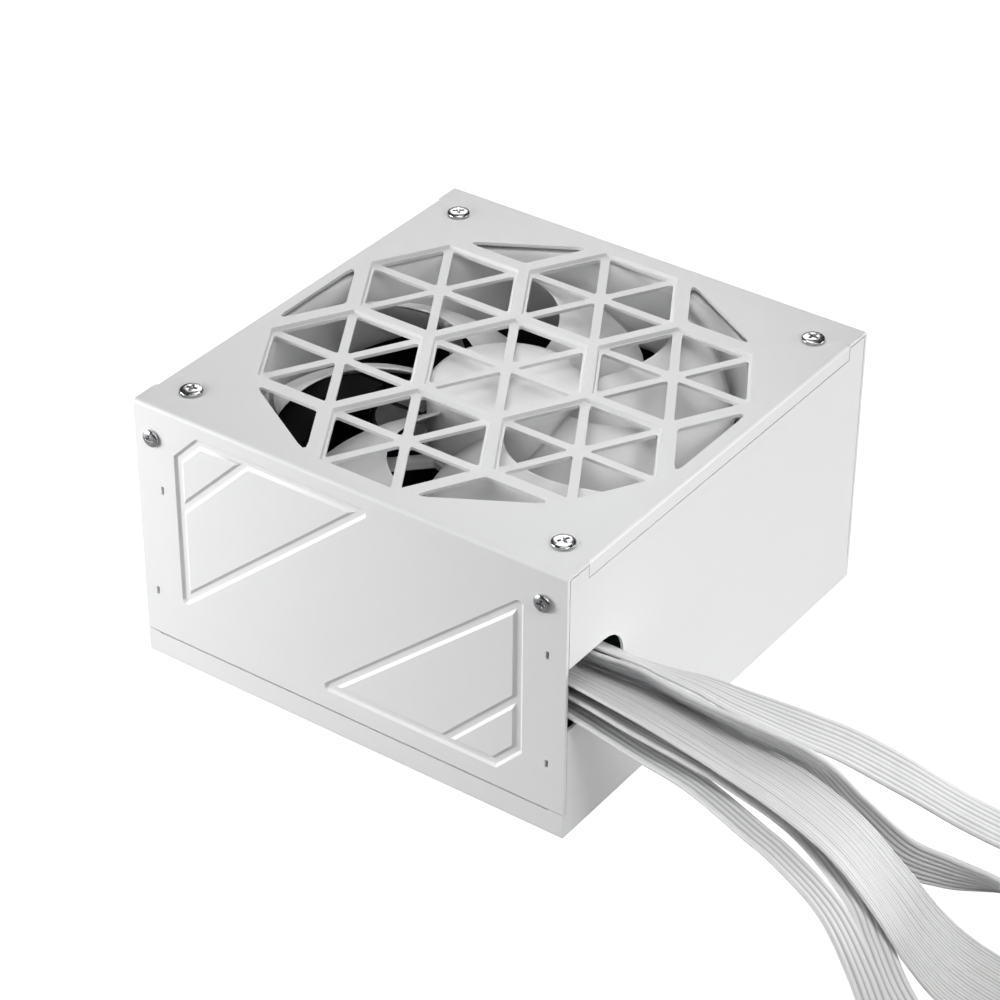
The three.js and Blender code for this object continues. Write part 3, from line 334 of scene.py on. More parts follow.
def catmull_rom(points, steps):
    """Points of a uniform Catmull-Rom curve whose ends are reflected, with its directions."""
    last = len(points) - 1
    before = [2 * points[0] - points[1]] + points[:-1]
    after = points[1:] + [2 * points[last] - points[last - 1]]
    made = []
    for i in range(last):
        start_slope = (points[i + 1] - before[i]) / 2
        end_slope = (after[i + 1] - points[i]) / 2
        a = 2 * points[i] - 2 * points[i + 1] + start_slope + end_slope
        b = 3 * points[i + 1] - 3 * points[i] - 2 * start_slope - end_slope
        stop = steps + 1 if i == last - 1 else steps
        for k in range(stop):
            t = k / steps
            place = ((a * t + b) * t + start_slope) * t + points[i]
            slope = (3 * a * t + 2 * b) * t + start_slope
            made.append((place, slope))
    return made


def hank_layer_height(cable, level, x):
    """Height of a run of the folded length; the tie draws the runs together at mid-run."""
    fold = cable["fold"]
    base = GROUND_GAP + cable["thickness"] / 2
    near_fold = HANK_FACE + fold + cable["thickness"]
    middle = near_fold + cable["run"] / 2
    reach = PINCH_SHARE * cable["run"]
    tight = base + TIE_THICKNESS + level * (cable["thickness"] + TIGHT_GAP)
    return tight + (base + level * 2 * fold - tight) * smooth_step(abs(x - middle) / reach)


def hank_points(cable):
    """Centreline of the folded length, from the end of the route to the back of the plug."""
    fold, run, thickness = cable["fold"], cable["run"], cable["thickness"]
    lane = cable["route"][-1][1]
    near = HANK_FACE + fold + thickness
    far = near + run
    base = GROUND_GAP + thickness / 2
    points = []

    def run_between(x0, x1, level):
        for k in range(1, RUN_STEPS + 1):
            x = x0 + (x1 - x0) * k / RUN_STEPS
            points.append(Vector((x, lane, hank_layer_height(cable, level, x))))

    def turn_back(x, z, side):
        for k in range(1, FOLD_STEPS + 1):
            angle = math.pi * k / FOLD_STEPS
            points.append(Vector((x + side * fold * math.sin(angle), lane, z - fold * math.cos(angle))))

    run_between(HANK_FACE - GROUND_GAP, far, 0)
    turn_back(far, base + fold, 1)
    run_between(far, near, 1)
    turn_back(near, base + 3 * fold, -1)
    run_between(near, far, 2)
    return points


def tail_points(cable):
    """Bezier from the top run down to the back of the plug, for the ribbon and its spread wires."""
    fold, thickness = cable["fold"], cable["thickness"]
    lane = cable["route"][-1][1]
    far = HANK_FACE + fold + thickness + cable["run"]
    start = Vector((far, lane, GROUND_GAP + thickness / 2 + 4 * fold))
    end = Vector((far + fold + TAIL + GROUND_GAP, lane, PLUG_BACK_HEIGHT[cable["plugs"][0]]))
    reach = (end.x - start.x) * 0.52
    leaving, arriving = start + X_AXIS * reach, end - X_AXIS * reach * 1.15
    points = []
    for k in range(1, TAIL_STEPS + 1):
        t = k / TAIL_STEPS
        s = 1 - t
        points.append(
            start * s ** 3 + leaving * 3 * s * s * t + arriving * 3 * s * t * t + end * t ** 3)
    return points


# where the wires enter each plug: (offset from the plug's middle, height), in millimetres
ROW_HEIGHTS = (3.0, 7.2)
PIN_PITCH = 4.2
PLUG_BACK_HEIGHT = {
    "main_plug": 5.1, "processor_plug_a": 5.1, "graphics_plug": 5.1, "drive_plug": 4.0,
    "peripheral_plug": 3.4,
}


def row_entries(columns):
    entries = []
    for column in range(columns):
        for height in ROW_HEIGHTS:
            entries.append(((column - (columns - 1) / 2) * PIN_PITCH, height))
    return entries


PLUG_ENTRIES = {
    "main_plug": row_entries(12),
    "processor_plug_a": row_entries(2),
    "processor_plug_b": row_entries(2),
    "graphics_plug": row_entries(3),
    "graphics_plug_extra": row_entries(1),
    "drive_plug": [((k - 2) * 3.4, 4.0) for k in range(5)],
    "peripheral_plug": [(-7.4, 3.4), (-2.5, 2.6), (-2.5, 4.4), (2.5, 3.4), (7.4, 3.4)],
}


def wobble(source, length, step):
    """A smooth random curve: values every `step`, eased between, read by distance."""
    knots = [source.uniform(-1, 1) for _ in range(int(length / step) + 3)]

    def value(distance):
        i = int(distance / step)
        t = smooth_step(distance / step - i)
        return knots[i] * (1 - t) + knots[i + 1] * t

    return value


def ribbon_frames(cable):
    """(place, across, normal) along the ribbon, its tail included, in millimetres."""
    route = cable["route"]
    centre = catmull_rom([Vector(p[:3]) for p in route], ROUTE_STEPS)
    tilts = catmull_rom([Vector((p[3], 0, 0)) for p in route], ROUTE_STEPS)
    frames = []
    for (place, slope), (tilt_point, _) in zip(centre, tilts):
        tangent = slope.normalized()
        tilt = math.radians(tilt_point.x)
        level = Z_AXIS.cross(tangent).normalized()
        upright = tangent.cross(level)
        across = level * math.cos(tilt) - upright * math.sin(tilt)
        frames.append((place, across, tangent.cross(across)))
    flat = hank_points(cable) + tail_points(cable)
    for i, place in enumerate(flat):
        before = frames[-1][0] if i == 0 else flat[i - 1]
        after = flat[min(i + 1, len(flat) - 1)]
        tangent = (after - before).normalized()
        frames.append((place, Y_AXIS, tangent.cross(Y_AXIS)))
    return frames


def wire_ring(place, across, normal, half_width, half_height):
    ring = []
    for k in range(WIRE_SIDES):
        angle = 2 * math.pi * k / WIRE_SIDES
        ring.append(
            place + across * (half_width * math.cos(angle)) + normal * (half_height * math.sin(angle)))
    return ring


def ribbon_ring(cable, frame_here, lifts):
    """Outline of the fused wires: a lobe for each wire on both faces, and round outer edges."""
    place, across, normal = frame_here
    wires = cable["wires"]
    pitch = cable["width"] / wires
    half_height = cable["thickness"] / 2
    upper, lower = [], []
    for wire in range(wires):
        for step in range(LOBE_STEPS + 1):
            if step == 0 and wire > 0:
                continue
            u = 2 * step / LOBE_STEPS - 1
            outer = (wire == 0 and u < 0) or (wire == wires - 1 and u > 0)
            drop = 1 - math.sqrt(1 - u * u)
            height = half_height * (1 - drop * (1 - EDGE_HEIGHT if outer else GROOVE_SHARE))
            neighbour = min(wires - 1, wire + 1) if step == LOBE_STEPS else wire
            lift = (lifts[wire] + lifts[neighbour]) / 2
            sideways = across * ((wire + 0.5 + u / 2) * pitch - cable["width"] / 2)
            upper.append(place + sideways + normal * (lift + height))
            lower.append(place + sideways + normal * (lift - height))
    return lower + upper[::-1]


def mark_painted_groove_shade(piece, wires, ring_count):
    """Records how close each point of a ribbon lies to the groove between two wires, from 0 to 1: the
    share of painted shade that darkens it there.
    """
    closeness = []
    for wire in range(wires):
        for step in range(LOBE_STEPS + 1):
            if step == 0 and wire > 0:
                continue
            outer = (wire == 0 and step == 0) or (wire == wires - 1 and step == LOBE_STEPS)
            closeness.append(0.0 if outer else abs(2 * step / LOBE_STEPS - 1) ** GROOVE_SHADE_SHARPNESS)
    painted_groove_shade = piece.data.attributes.new("painted_groove_shade", "FLOAT", "POINT")
    painted_groove_shade.data.foreach_set("value", (closeness + closeness[::-1]) * ring_count)


def plug_entries(cable):
    """Every wire's place at the plugs, as (y, z) in millimetres, from -Y to +Y."""
    entries = []
    for plug in cable["plugs"]:
        low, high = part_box(plug)
        middle = (low.y + high.y) / 2 / MM
        entries.extend((middle + offset, height) for offset, height in PLUG_ENTRIES[plug])
    return entries


def build_cable(name, cable, seed):
    """The ribbon as one piece, and the stretch where its wires spread to the plugs as another."""
    source = random.Random(seed)
    frames = ribbon_frames(cable)
    tail_count = len(tail_points(cable))
    split = len(frames) - tail_count + int(tail_count * SPLIT_SHARE)
    travelled = [0.0]
    for i in range(1, len(frames)):
        travelled.append(travelled[-1] + (frames[i][0] - frames[i - 1][0]).length)
    pitch = cable["width"] / cable["wires"]
    half_width = pitch / 2
    half_height = cable["thickness"] / 2
    entries = plug_entries(cable)
    lane = cable["route"][-1][1]
    wanders = [wobble(source, travelled[-1], WANDER_STEP) for _ in range(cable["wires"])]
    ribbon, spread = Build(), Build()
    ribbon.rings([
        ribbon_ring(cable, frames[i], [WIRE_WANDER * wander(travelled[i]) for wander in wanders])
        for i in range(split + 1)])
    for wire, wander in enumerate(wanders):
        offset = (wire - (cable["wires"] - 1) / 2) * pitch
        y, z = entries[wire]
        rings = []
        for i in range(split, len(frames)):
            place, across, normal = frames[i]
            t = smooth_step((i - split) / (len(frames) - 1 - split))
            rise = WIRE_WANDER * wander(travelled[i]) * (1 - t)
            sideways = across * (offset * (1 - t) + (y - lane) * t)
            upwards = Z_AXIS * ((z - frames[-1][0].z) * t)
            half = half_width + (WIRE_RADIUS - half_width) * t
            tall = half_height + (WIRE_RADIUS - half_height) * t
            centre = place + sideways + upwards + normal * rise
            rings.append(wire_ring(centre, across, normal, half, tall))
        spread.rings(rings)
    band = ribbon.piece(f"{name}_ribbon")
    mark_painted_groove_shade(band, cable["wires"], split + 1)
    wires = spread.piece(f"{name}_plug_wires")
    path = [frames[i][0] * MM for i in range(split + 1)]
    return band, wires, path


def build_tie(name, cable):
    """A hook-and-loop strap drawn round the three runs at mid-run."""
    near = HANK_FACE + cable["fold"] + cable["thickness"]
    middle = near + cable["run"] / 2
    lane = cable["route"][-1][1]
    half_y = cable["width"] / 2 + 0.35
    low = hank_layer_height(cable, 0, middle) - cable["thickness"] / 2 - 0.1
    high = hank_layer_height(cable, 2, middle) + cable["thickness"] / 2 + 0.1
    centre_z = (low + high) / 2
    half_z = (high - low) / 2
    wrap = TIE_THICKNESS * 0.8
    inner = rounded_rectangle(half_y, half_z, 1.1)
    outer = rounded_rectangle(half_y + wrap, half_z + wrap, 1.1 + wrap)
    strap = Build()
    rings = []
    for (y0, z0), (y1, z1) in zip(inner, outer):
        inward = Vector((0, y0 + lane, z0 + centre_z))
        outward = Vector((0, y1 + lane, z1 + centre_z))
        through = (outward - inward).normalized() * TIE_EDGE
        half = TIE_WIDTH / 2
        flat = half - TIE_EDGE
        rings.append([point + X_AXIS * (middle + along) for point, along in (
            (inward + through, -half), (inward, -flat), (inward, flat), (inward + through, half),
            (outward - through, half), (outward, flat), (outward, -flat), (outward - through, -half))])
    strap.rings(rings, closed=True)
    start = centre_z + half_z + wrap + 0.02
    tongue = []
    for k in range(TONGUE_STEPS + 1):
        t = k / TONGUE_STEPS
        y = lane - half_y * 0.55 + (half_y * 1.15) * t
        tip = 1.0 if t < 0.8 else math.sqrt(max(0.05, 1 - ((t - 0.8) / 0.2) ** 2 * 0.95))
        half = TIE_WIDTH / 2 * 0.92 * tip
        lift = 0.35 * smooth_step((t - 0.75) / 0.25)
        tongue.append([
            Vector((middle - half, y, start + lift)),
            Vector((middle + half, y, start + lift)),
            Vector((middle + half, y, start + TONGUE_THICKNESS + lift)),
            Vector((middle - half, y, start + TONGUE_THICKNESS + lift)),
        ])
    strap.rings([list(reversed(ring)) for ring in tongue])
    return strap.piece(f"{name}_tie")


ROW_SOCKET_HEIGHTS = (2.7, 6.9)
DRIVE_PITCH = 1.27
PERIPHERAL_PITCH = 5.08
TERMINAL_WALL = 0.3


def plug_sockets(plug):
    """Sockets from the plug's foot and middle: (y, z, half width, half height); and their depths."""
    if plug == "drive_plug":
        return [((k - 7) * DRIVE_PITCH, 2.85, 0.4, 0.25) for k in range(15)], (9.0, 13.2)
    if plug == "peripheral_plug":
        return [((k - 1.5) * PERIPHERAL_PITCH, 3.3, 1.5, 1.5) for k in range(4)], (5.0, 13.5)
    columns = len(PLUG_ENTRIES[plug]) // 2
    sockets = []
    for column in range(columns):
        for height in ROW_SOCKET_HEIGHTS:
            sockets.append(((column - (columns - 1) / 2) * PIN_PITCH, height, 1.25, 1.25))
    return sockets, (4.0, 12.4)


def build_terminals(plug):
    """Folded spring terminals that fill the plug's sockets, each a square tube open at the front."""
    low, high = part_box(plug)
    back, middle, foot = low.x / MM, (low.y + high.y) / 2 / MM, low.z / MM
    sockets, (start, end) = plug_sockets(plug)
    terminals = Build()
    for y, z, half_y, half_z in sockets:
        outer = rounded_rectangle(half_y, half_z, min(half_y, half_z) * 0.3, 2)
        if min(half_y, half_z) < 2 * TERMINAL_WALL:
            sections = [(outer, start), (outer, end)]
        else:
            inner = rounded_rectangle(half_y - TERMINAL_WALL, half_z - TERMINAL_WALL, 0.15, 2)
            tight = rounded_rectangle(half_y - 0.55, half_z - 0.55, 0.1, 2)
            sections = [
                (outer, start), (outer, end), (inner, end), (tight, (start + end) / 2),
                (tight, start + 0.6)]
        terminals.rings([
            [Vector((back + depth, middle + y + dy, foot + z + dz)) for dy, dz in outline]
            for outline, depth in sections])
    return terminals.piece(f"{plug}_terminals")


cable_pieces = []
tie_pieces = []
terminal_pieces = []
for number, (name, cable) in enumerate(CABLES.items()):
    band, wires, path = build_cable(name, cable, seed=FIRST_SEED + number)
    tie = build_tie(name, cable)
    terminals = [build_terminals(plug) for plug in cable["plugs"]]
    for piece in (band, wires, tie, *terminals):
        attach(piece, "root")
    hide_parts(f"{name}_cable", f"{name}_cable_hank")
    exit_point = Vector(cable["route"][1][:3]) * MM
    exit_point.x = EXIT_X * MM
    cable_pieces.extend((band, wires))
    tie_pieces.append(tie)
    terminal_pieces.extend(terminals)


# ---------------------------------------------------------------- fan
# Millimetres. The CAD fan has flat facets; these pieces follow it with round surfaces.
FAN_TOP = 83.65
FAN_BOTTOM = 58.65
FAN_HALF = 69.7
BORE_RADIUS = 66.6
BELL_DEPTH = 7.0
BELL_WIDENING = 2.3
FAN_SCREW_OFFSET = 62.25
FAN_HOLE_RADIUS = 2.2
FLANGE = 4.0                     # height of the two square flanges of the fan's frame
HUB_RADIUS = 22.5
HUB_TOP = 80.4
SKIRT_BOTTOM = 62.85
BLADE_COUNT = 7
BLADE_PHASE = 27.5
BLADE_THICKNESS = 1.2
MOTOR_DISC = (23.4, 3.0)         # radius and thickness of the disc that the struts carry
STRUT_START = 20.0
STRUT_END = 67.6
STRUT_OFFSET = 6.0               # the struts pass the axis at this distance
STRUT_STEPS = 8
BLADE_PITCH = (44, 26)           # degrees, at the hub and at the tip
BLADE_CHORD = (20, 49)           # at the hub and at the tip
BLADE_CAMBER = 2.4
BLADE_SWEEP = 0.55               # radians, forward at the tip
TIP_ROUNDING = 0.18              # share of the blade's length over which its corners round off
TURN_STEPS = 96


def turned(profile):
    """A closed ring of (radius, height) points turned about Z: a body with a hole through it."""
    shape = Build()
    rings = []
    for k in range(TURN_STEPS):
        angle = 2 * math.pi * k / TURN_STEPS
        rings.append([
            Vector((radius * math.cos(angle), radius * math.sin(angle), height))
            for radius, height in profile])
    shape.rings(rings, closed=True)
    return shape


def bell_profile(steps=10):
    """Bore wall from the bottom up, widening like a quarter of an ellipse near the top."""
    points = [(BORE_RADIUS + 0.9, FAN_BOTTOM), (BORE_RADIUS + 0.3, FAN_BOTTOM + 1.2)]
    points.append((BORE_RADIUS, FAN_BOTTOM + 3))
    for k in range(steps + 1):
        angle = math.pi / 2 * k / steps
        points.append((
            BORE_RADIUS + BELL_WIDENING * (1 - math.cos(angle)),
            FAN_TOP - BELL_DEPTH * (1 - math.sin(angle))))
    return points


def fan_frame_piece():
    """Two square flanges round a bell-mouthed bore, four struts and the motor's disc."""
    body = Build()
    for low, high in ((FAN_BOTTOM, FAN_BOTTOM + FLANGE), (FAN_TOP - FLANGE, FAN_TOP)):
        body.prism(rounded_rectangle(FAN_HALF, FAN_HALF, 7, 10), low, high)
    frame_body = body.piece("fan_frame_round")
    drum = Build()
    drum.prism(circle(FAN_HALF - 0.15, TURN_STEPS), FAN_BOTTOM + 0.02, FAN_TOP - 0.02)
    carve(frame_body, [drum.piece("drum")], "UNION")
    bore = Build()
    bore.lathe([
        (0, FAN_BOTTOM - 1), (BORE_RADIUS + 0.9, FAN_BOTTOM - 1), *bell_profile(),
        (BORE_RADIUS + BELL_WIDENING + 0.02, FAN_TOP + 1), (0, FAN_TOP + 1),
    ], TURN_STEPS)
    holes = Build()
    for x in (-FAN_SCREW_OFFSET, FAN_SCREW_OFFSET):
        for y in (-FAN_SCREW_OFFSET, FAN_SCREW_OFFSET):
            holes.prism(circle(FAN_HOLE_RADIUS, 24, x, y), FAN_BOTTOM - 1, FAN_TOP + 1)
    carve(frame_body, [bore.piece("bore"), holes.piece("holes")])
    carriers = Build()
    strut_section = [
        (-2.5, 0.5), (-2.1, 0.0), (2.1, 0.0), (2.5, 0.5), (2.0, 2.3), (0.9, 2.95), (-0.9, 2.95),
        (-2.0, 2.3)]
    for k in range(4):
        turn = Matrix.Rotation(math.pi * (2 * k + 1) / 4, 4, "Z")
        rings = []
        for i in range(STRUT_STEPS + 1):
            x = STRUT_START + (STRUT_END - STRUT_START) * i / STRUT_STEPS
            rings.append([
                turn @ Vector((x, STRUT_OFFSET + side, FAN_BOTTOM + 0.01 + up))
                for side, up in strut_section])
        carriers.rings(rings)
    radius, thickness = MOTOR_DISC
    carriers.lathe([
        (0, FAN_BOTTOM), (radius - 0.5, FAN_BOTTOM), (radius, FAN_BOTTOM + 0.5),
        (radius, FAN_BOTTOM + thickness - 0.4), (radius - 0.4, FAN_BOTTOM + thickness),
        (4.0, FAN_BOTTOM + thickness), (4.0, HUB_TOP - 4), (1.9, HUB_TOP - 4), (1.9, FAN_BOTTOM + 1),
        (0, FAN_BOTTOM + 1),
    ], TURN_STEPS)
    carve(frame_body, [carriers.piece("carriers")], "UNION")
    soften(frame_body, 0.25, 2, 40)
    return frame_body


def blade_point(number, along, across, through):
    """A point of a blade. Along runs from hub to tip; across from edge to edge, -0.5 to 0.5."""
    inner, outer = HUB_RADIUS - 0.6, BORE_RADIUS - 1.25
    radius = inner + (outer - inner) * along
    pitch = math.radians(BLADE_PITCH[0] + (BLADE_PITCH[1] - BLADE_PITCH[0]) * along)
    chord = BLADE_CHORD[0] + (BLADE_CHORD[1] - BLADE_CHORD[0]) * along
    corner = max(0.0, along - (1 - TIP_ROUNDING)) / TIP_ROUNDING
    chord *= 1 - 0.07 * corner * corner
    camber = BLADE_CAMBER * (1 - 4 * across * across) * (0.4 + 0.6 * along)
    arc = across * chord * math.cos(pitch) - camber * math.sin(pitch)
    angle = 2 * math.pi * number / BLADE_COUNT + math.radians(BLADE_PHASE) + arc / radius
    angle += BLADE_SWEEP * along * along
    middle = (FAN_BOTTOM + 3 + FAN_TOP) / 2 - 0.4
    rise = (across * chord * math.sin(pitch) + camber * math.cos(pitch)) * 0.82
    return Vector((radius * math.cos(angle), radius * math.sin(angle), middle + rise + through))


def fan_rotor_piece():
    """A cup-shaped hub with a rolled edge, seven thin swept blades and the shaft."""
    body = turned([
        (HUB_RADIUS - 1.6, SKIRT_BOTTOM), (HUB_RADIUS - 0.2, SKIRT_BOTTOM),
        (HUB_RADIUS, SKIRT_BOTTOM + 0.3), (HUB_RADIUS, HUB_TOP - 2.2),
        (HUB_RADIUS - 0.25, HUB_TOP - 1.2), (HUB_RADIUS - 0.85, HUB_TOP - 0.45),
        (HUB_RADIUS - 1.7, HUB_TOP - 0.08), (HUB_RADIUS - 2.4, HUB_TOP),
        (HUB_RADIUS - 4.6, HUB_TOP), (HUB_RADIUS - 4.7, HUB_TOP - 0.12),
        (0.4, HUB_TOP - 0.12), (0.4, HUB_TOP - 1.6),
        (HUB_RADIUS - 2.6, HUB_TOP - 1.6), (HUB_RADIUS - 1.6, HUB_TOP - 2.6),
    ])
    body.lathe([
        (0, FAN_BOTTOM + 1.3), (1.2, FAN_BOTTOM + 1.3), (1.5, FAN_BOTTOM + 1.6), (1.5, HUB_TOP - 1.5),
        (0.6, HUB_TOP - 0.121), (0, HUB_TOP - 0.121),
    ], 24)
    lengthwise, crosswise = 18, 22
    for number in range(BLADE_COUNT):
        rings = []
        for i in range(lengthwise + 1):
            along = i / lengthwise
            upper, lower = [], []
            for j in range(crosswise + 1):
                across = -0.5 * math.cos(math.pi * j / crosswise)
                shape = math.sqrt(max(0.0, 1 - (2 * across) ** 2)) ** 0.5
                half = BLADE_THICKNESS / 2 * shape * (1 - 0.25 * along)
                upper.append(blade_point(number, along, across, half))
                if 0 < j < crosswise:
                    lower.append(blade_point(number, along, across, -half))
            rings.append(upper + lower[::-1])
        body.rings(rings)
    rotor = body.piece("fan_rotor_round")
    face_outward(rotor)
    weighted = rotor.modifiers.new("weighted", "WEIGHTED_NORMAL")
    weighted.mode = "FACE_AREA"
    return rotor


fan_frame_round = fan_frame_piece()
fan_rotor_round = fan_rotor_piece()
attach(fan_frame_round, "root")
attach(fan_rotor_round, "rotor")
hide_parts("fan_frame")
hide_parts("fan_rotor")


# ---------------------------------------------------------------- screws
THREAD_PITCH = 0.5
CASE_SCREW_X = (-66.5, 65)
CASE_SCREW_FACE = 75.1
CASE_SCREW_Z = 75.5
GRILLE_FACE = 85.65
PARTS_Z = 11.6                   # upper face of the board, and of what stands on it
BOARD_SCREWS = ((-60, -60), (-60, 60), (44, 60), (44, -60))
# (head radius, head height, shank radius, length under the head), in millimetres
SCREWS = {"fan": (3.4, 1.3, 1.9, 7.0), "case": (2.7, 1.2, 1.4, 4.5), "board": (2.8, 1.6, 1.4, 6.0)}


def screw_piece(name, size, place):
    """A pan-head machine screw with a tapered cross recess and a cut thread."""
    head, height, shank, length = size
    body = Build()
    profile = [(0, -length), (shank * 0.72, -length), (shank * 0.98, -length + 0.5)]
    turns = int((length - 0.9) / THREAD_PITCH)
    for k in range(turns):
        low = -length + 0.6 + k * THREAD_PITCH
        profile.extend([
            (shank * 0.84, low + 0.06), (shank * 0.84, low + 0.14), (shank, low + 0.34),
            (shank, low + 0.4)])
    profile.extend([
        (shank * 0.9, -0.1), (shank * 0.9, 0), (head * 0.95, 0), (head, 0.12), (head, height * 0.4)])
    for k in range(1, 8):
        angle = math.pi / 2 * k / 8
        profile.append((
            head * (0.3 + 0.7 * math.cos(angle)), height * (0.4 + 0.6 * math.sin(angle))))
    profile.append((0, height))
    body.lathe(profile, 40)
    screw = body.piece(name)
    arm, half_slot, floor = head * 0.56, head * 0.13, height * 0.2
    for across in (False, True):
        bottom, top = [], []
        for x, y in ((-1, -1), (1, -1), (1, 1), (-1, 1)):
            low = (x * arm * 0.62, y * half_slot * 0.7, floor)
            high = (x * arm * 1.05, y * half_slot * 1.15, height + 0.3)
            for ring, point in ((bottom, low), (top, high)):
                if across:
                    point = (-point[1], point[0], point[2])
                ring.append(Vector(point))
        slot = Build()
        slot.rings([bottom, top])
        carve(screw, [slot.piece("slot")])
    screw.data.transform(place)
    soften(screw, 0.07)
    return screw


def screw_places():
    """(node, size, placement) of every screw, as the CAD has them."""
    places = []
    number = 0
    for x in (-FAN_SCREW_OFFSET, FAN_SCREW_OFFSET):
        for y in (-FAN_SCREW_OFFSET, FAN_SCREW_OFFSET):
            number += 1
            place = Matrix.Translation(Vector((x, y, GRILLE_FACE)) * MM)
            turn = Matrix.Rotation(0.35 * number, 4, "Z")
            places.append((f"fan_screw_{number}", "fan", place @ turn))
    number = 0
    for side in (-1, 1):
        for x in CASE_SCREW_X:
            number += 1
            place = Matrix.Translation(Vector((x, side * CASE_SCREW_FACE, CASE_SCREW_Z)) * MM)
            tilt = Matrix.Rotation(-side * math.pi / 2, 4, "X")
            places.append((f"case_screw_{number}", "case", place @ tilt))
    for number, (x, y) in enumerate(BOARD_SCREWS, start=1):
        place = Matrix.Translation(Vector((x, y, PARTS_Z)) * MM)
        places.append((f"board_screw_{number}", "board", place))
    return places


screw_pieces = []
for node, kind, place in screw_places():
    screw = screw_piece(f"{node}_turned", SCREWS[kind], place)
    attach(screw, "root")
    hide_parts(node)
    screw_pieces.append(screw)


# ---------------------------------------------------------------- inside the case
COIL_SIDES = 8
STEPS_A_TURN = 14                # points along one turn of a winding
LEG_PITCH = 2.54
ROCKER_PIVOT = (-68.1, 20, 24)
ROCKER_REST = math.radians(8)
ROCKER_HALF_HEIGHT = 8.2
MARK_STEPS = 40
inside = {"dark": [], "steel": [], "sleeve": [], "copper": [], "core": [], "top": []}


def wound_core(node, centre, radius, depth, wire, turns, spans):
    """A ferrite ring with wire wound round it over each span of degrees, in place of a CAD node."""
    half = depth - 2 * wire - 0.2
    section = [(radius + y, centre[2] + z) for y, z in rounded_rectangle(half, half, half * 0.45)]
    core = turned(section)
    core.vertices = [v + Vector((centre[0], centre[1], 0)) for v in core.vertices]
    coil = Build()
    reach = depth - wire - 0.1
    for first, last in spans:
        path = []
        count = int(turns * (last - first) / 360 * STEPS_A_TURN)
        for k in range(count + 1):
            around = math.radians(first + (last - first) * k / count)
            spin = 2 * math.pi * k / STEPS_A_TURN
            out = Vector((math.cos(around), math.sin(around), 0))
            lean = out * math.cos(spin) + Z_AXIS * math.sin(spin)
            path.append((Vector(centre) + out * radius + lean * reach, lean))
        rings = []
        for k, (place, lean) in enumerate(path):
            ahead = path[min(k + 1, len(path) - 1)][0] - path[max(k - 1, 0)][0]
            side = ahead.cross(lean).normalized()
            rings.append([place + lean * x + side * y for x, y in circle(wire, COIL_SIDES)])
        coil.rings(rings)
    wound = coil.piece(f"{node}_winding")
    ring = core.piece(f"{node}_core")
    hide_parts(node)
    inside["copper"].append(wound)
    inside["core"].append(ring)


def can_profile(radius, height):
    """Half section of an electrolytic capacitor: rounded foot, groove, rolled rim at the top."""
    return [
        (0, 0), (radius - 0.6, 0), (radius, 0.5), (radius, 2.8), (radius - 0.35, 3.3), (radius, 3.8),
        (radius, height - 1.1), (radius - 0.2, height - 0.5), (radius - 0.6, height - 0.15),
        (radius - 1.1, height - 0.1), (radius - 1.3, height - 0.5), (0, height - 0.5)]


def add_can(sleeves, tops, x, y, radius, height):
    """An electrolytic capacitor: a crimped sleeve and a bare top with a scored cross."""
    place = Matrix.Translation((x, y, PARTS_Z))
    sleeves.lathe(can_profile(radius, height), 48, place)
    half_score, outer, steps = 0.06 * radius, radius - 1.5, 10
    reach = math.sqrt(outer ** 2 - half_score ** 2)
    start = math.asin(half_score / outer)
    for k in range(4):
        turn = place @ Matrix.Rotation(math.pi / 2 * k, 4, "Z")
        outline = [(half_score * 1.05, half_score), (reach, half_score)]
        for i in range(1, steps):
            angle = start + (math.pi / 2 - 2 * start) * i / steps
            outline.append((outer * math.cos(angle), outer * math.sin(angle)))
        outline.append((half_score, reach))
        tops.prism(outline, height - 0.48, height - 0.3, turn)


# (x, y, radius, height) of the capacitors that stand in for CAD nodes, and of the scene's own
NODE_CANS = {
    "bulk_capacitor": (-34, 6, 15.5, 42), "output_capacitor_1": (54, -8, 5, 24),
    "output_capacitor_2": (54, 5, 5, 24), "output_capacitor_3": (54, 18, 5, 24),
}
SMALL_CANS = [
    (34, 36, 4, 12), (24, 34, 3.2, 9), (-12, 40, 4, 14), (4, 42, 3.2, 9), (20, -42, 4, 12),
    (31, -41, 3.2, 10), (42, -36, 4, 12), (-30, 50, 5, 12), (-46, -54, 4, 11),
]


def add_all_cans():
    tops = Build()
    for node, (x, y, radius, height) in NODE_CANS.items():
        sleeves = Build()
        add_can(sleeves, tops, x, y, radius, height)
        piece = sleeves.piece(f"{node}_can")
        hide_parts(node)
        inside["sleeve"].append(piece)
    sleeves = Build()
    for x, y, radius, height in SMALL_CANS:
        add_can(sleeves, tops, x, y, radius, height)
    inside["sleeve"].append(sleeves.piece("small_capacitors"))
    inside["top"].append(tops.piece("capacitor_tops", smooth=False))


TRANSISTOR_X = (2, 17, 32)
TRANSISTOR_FACE = -29.0          # the heatsink's face that they are clamped to


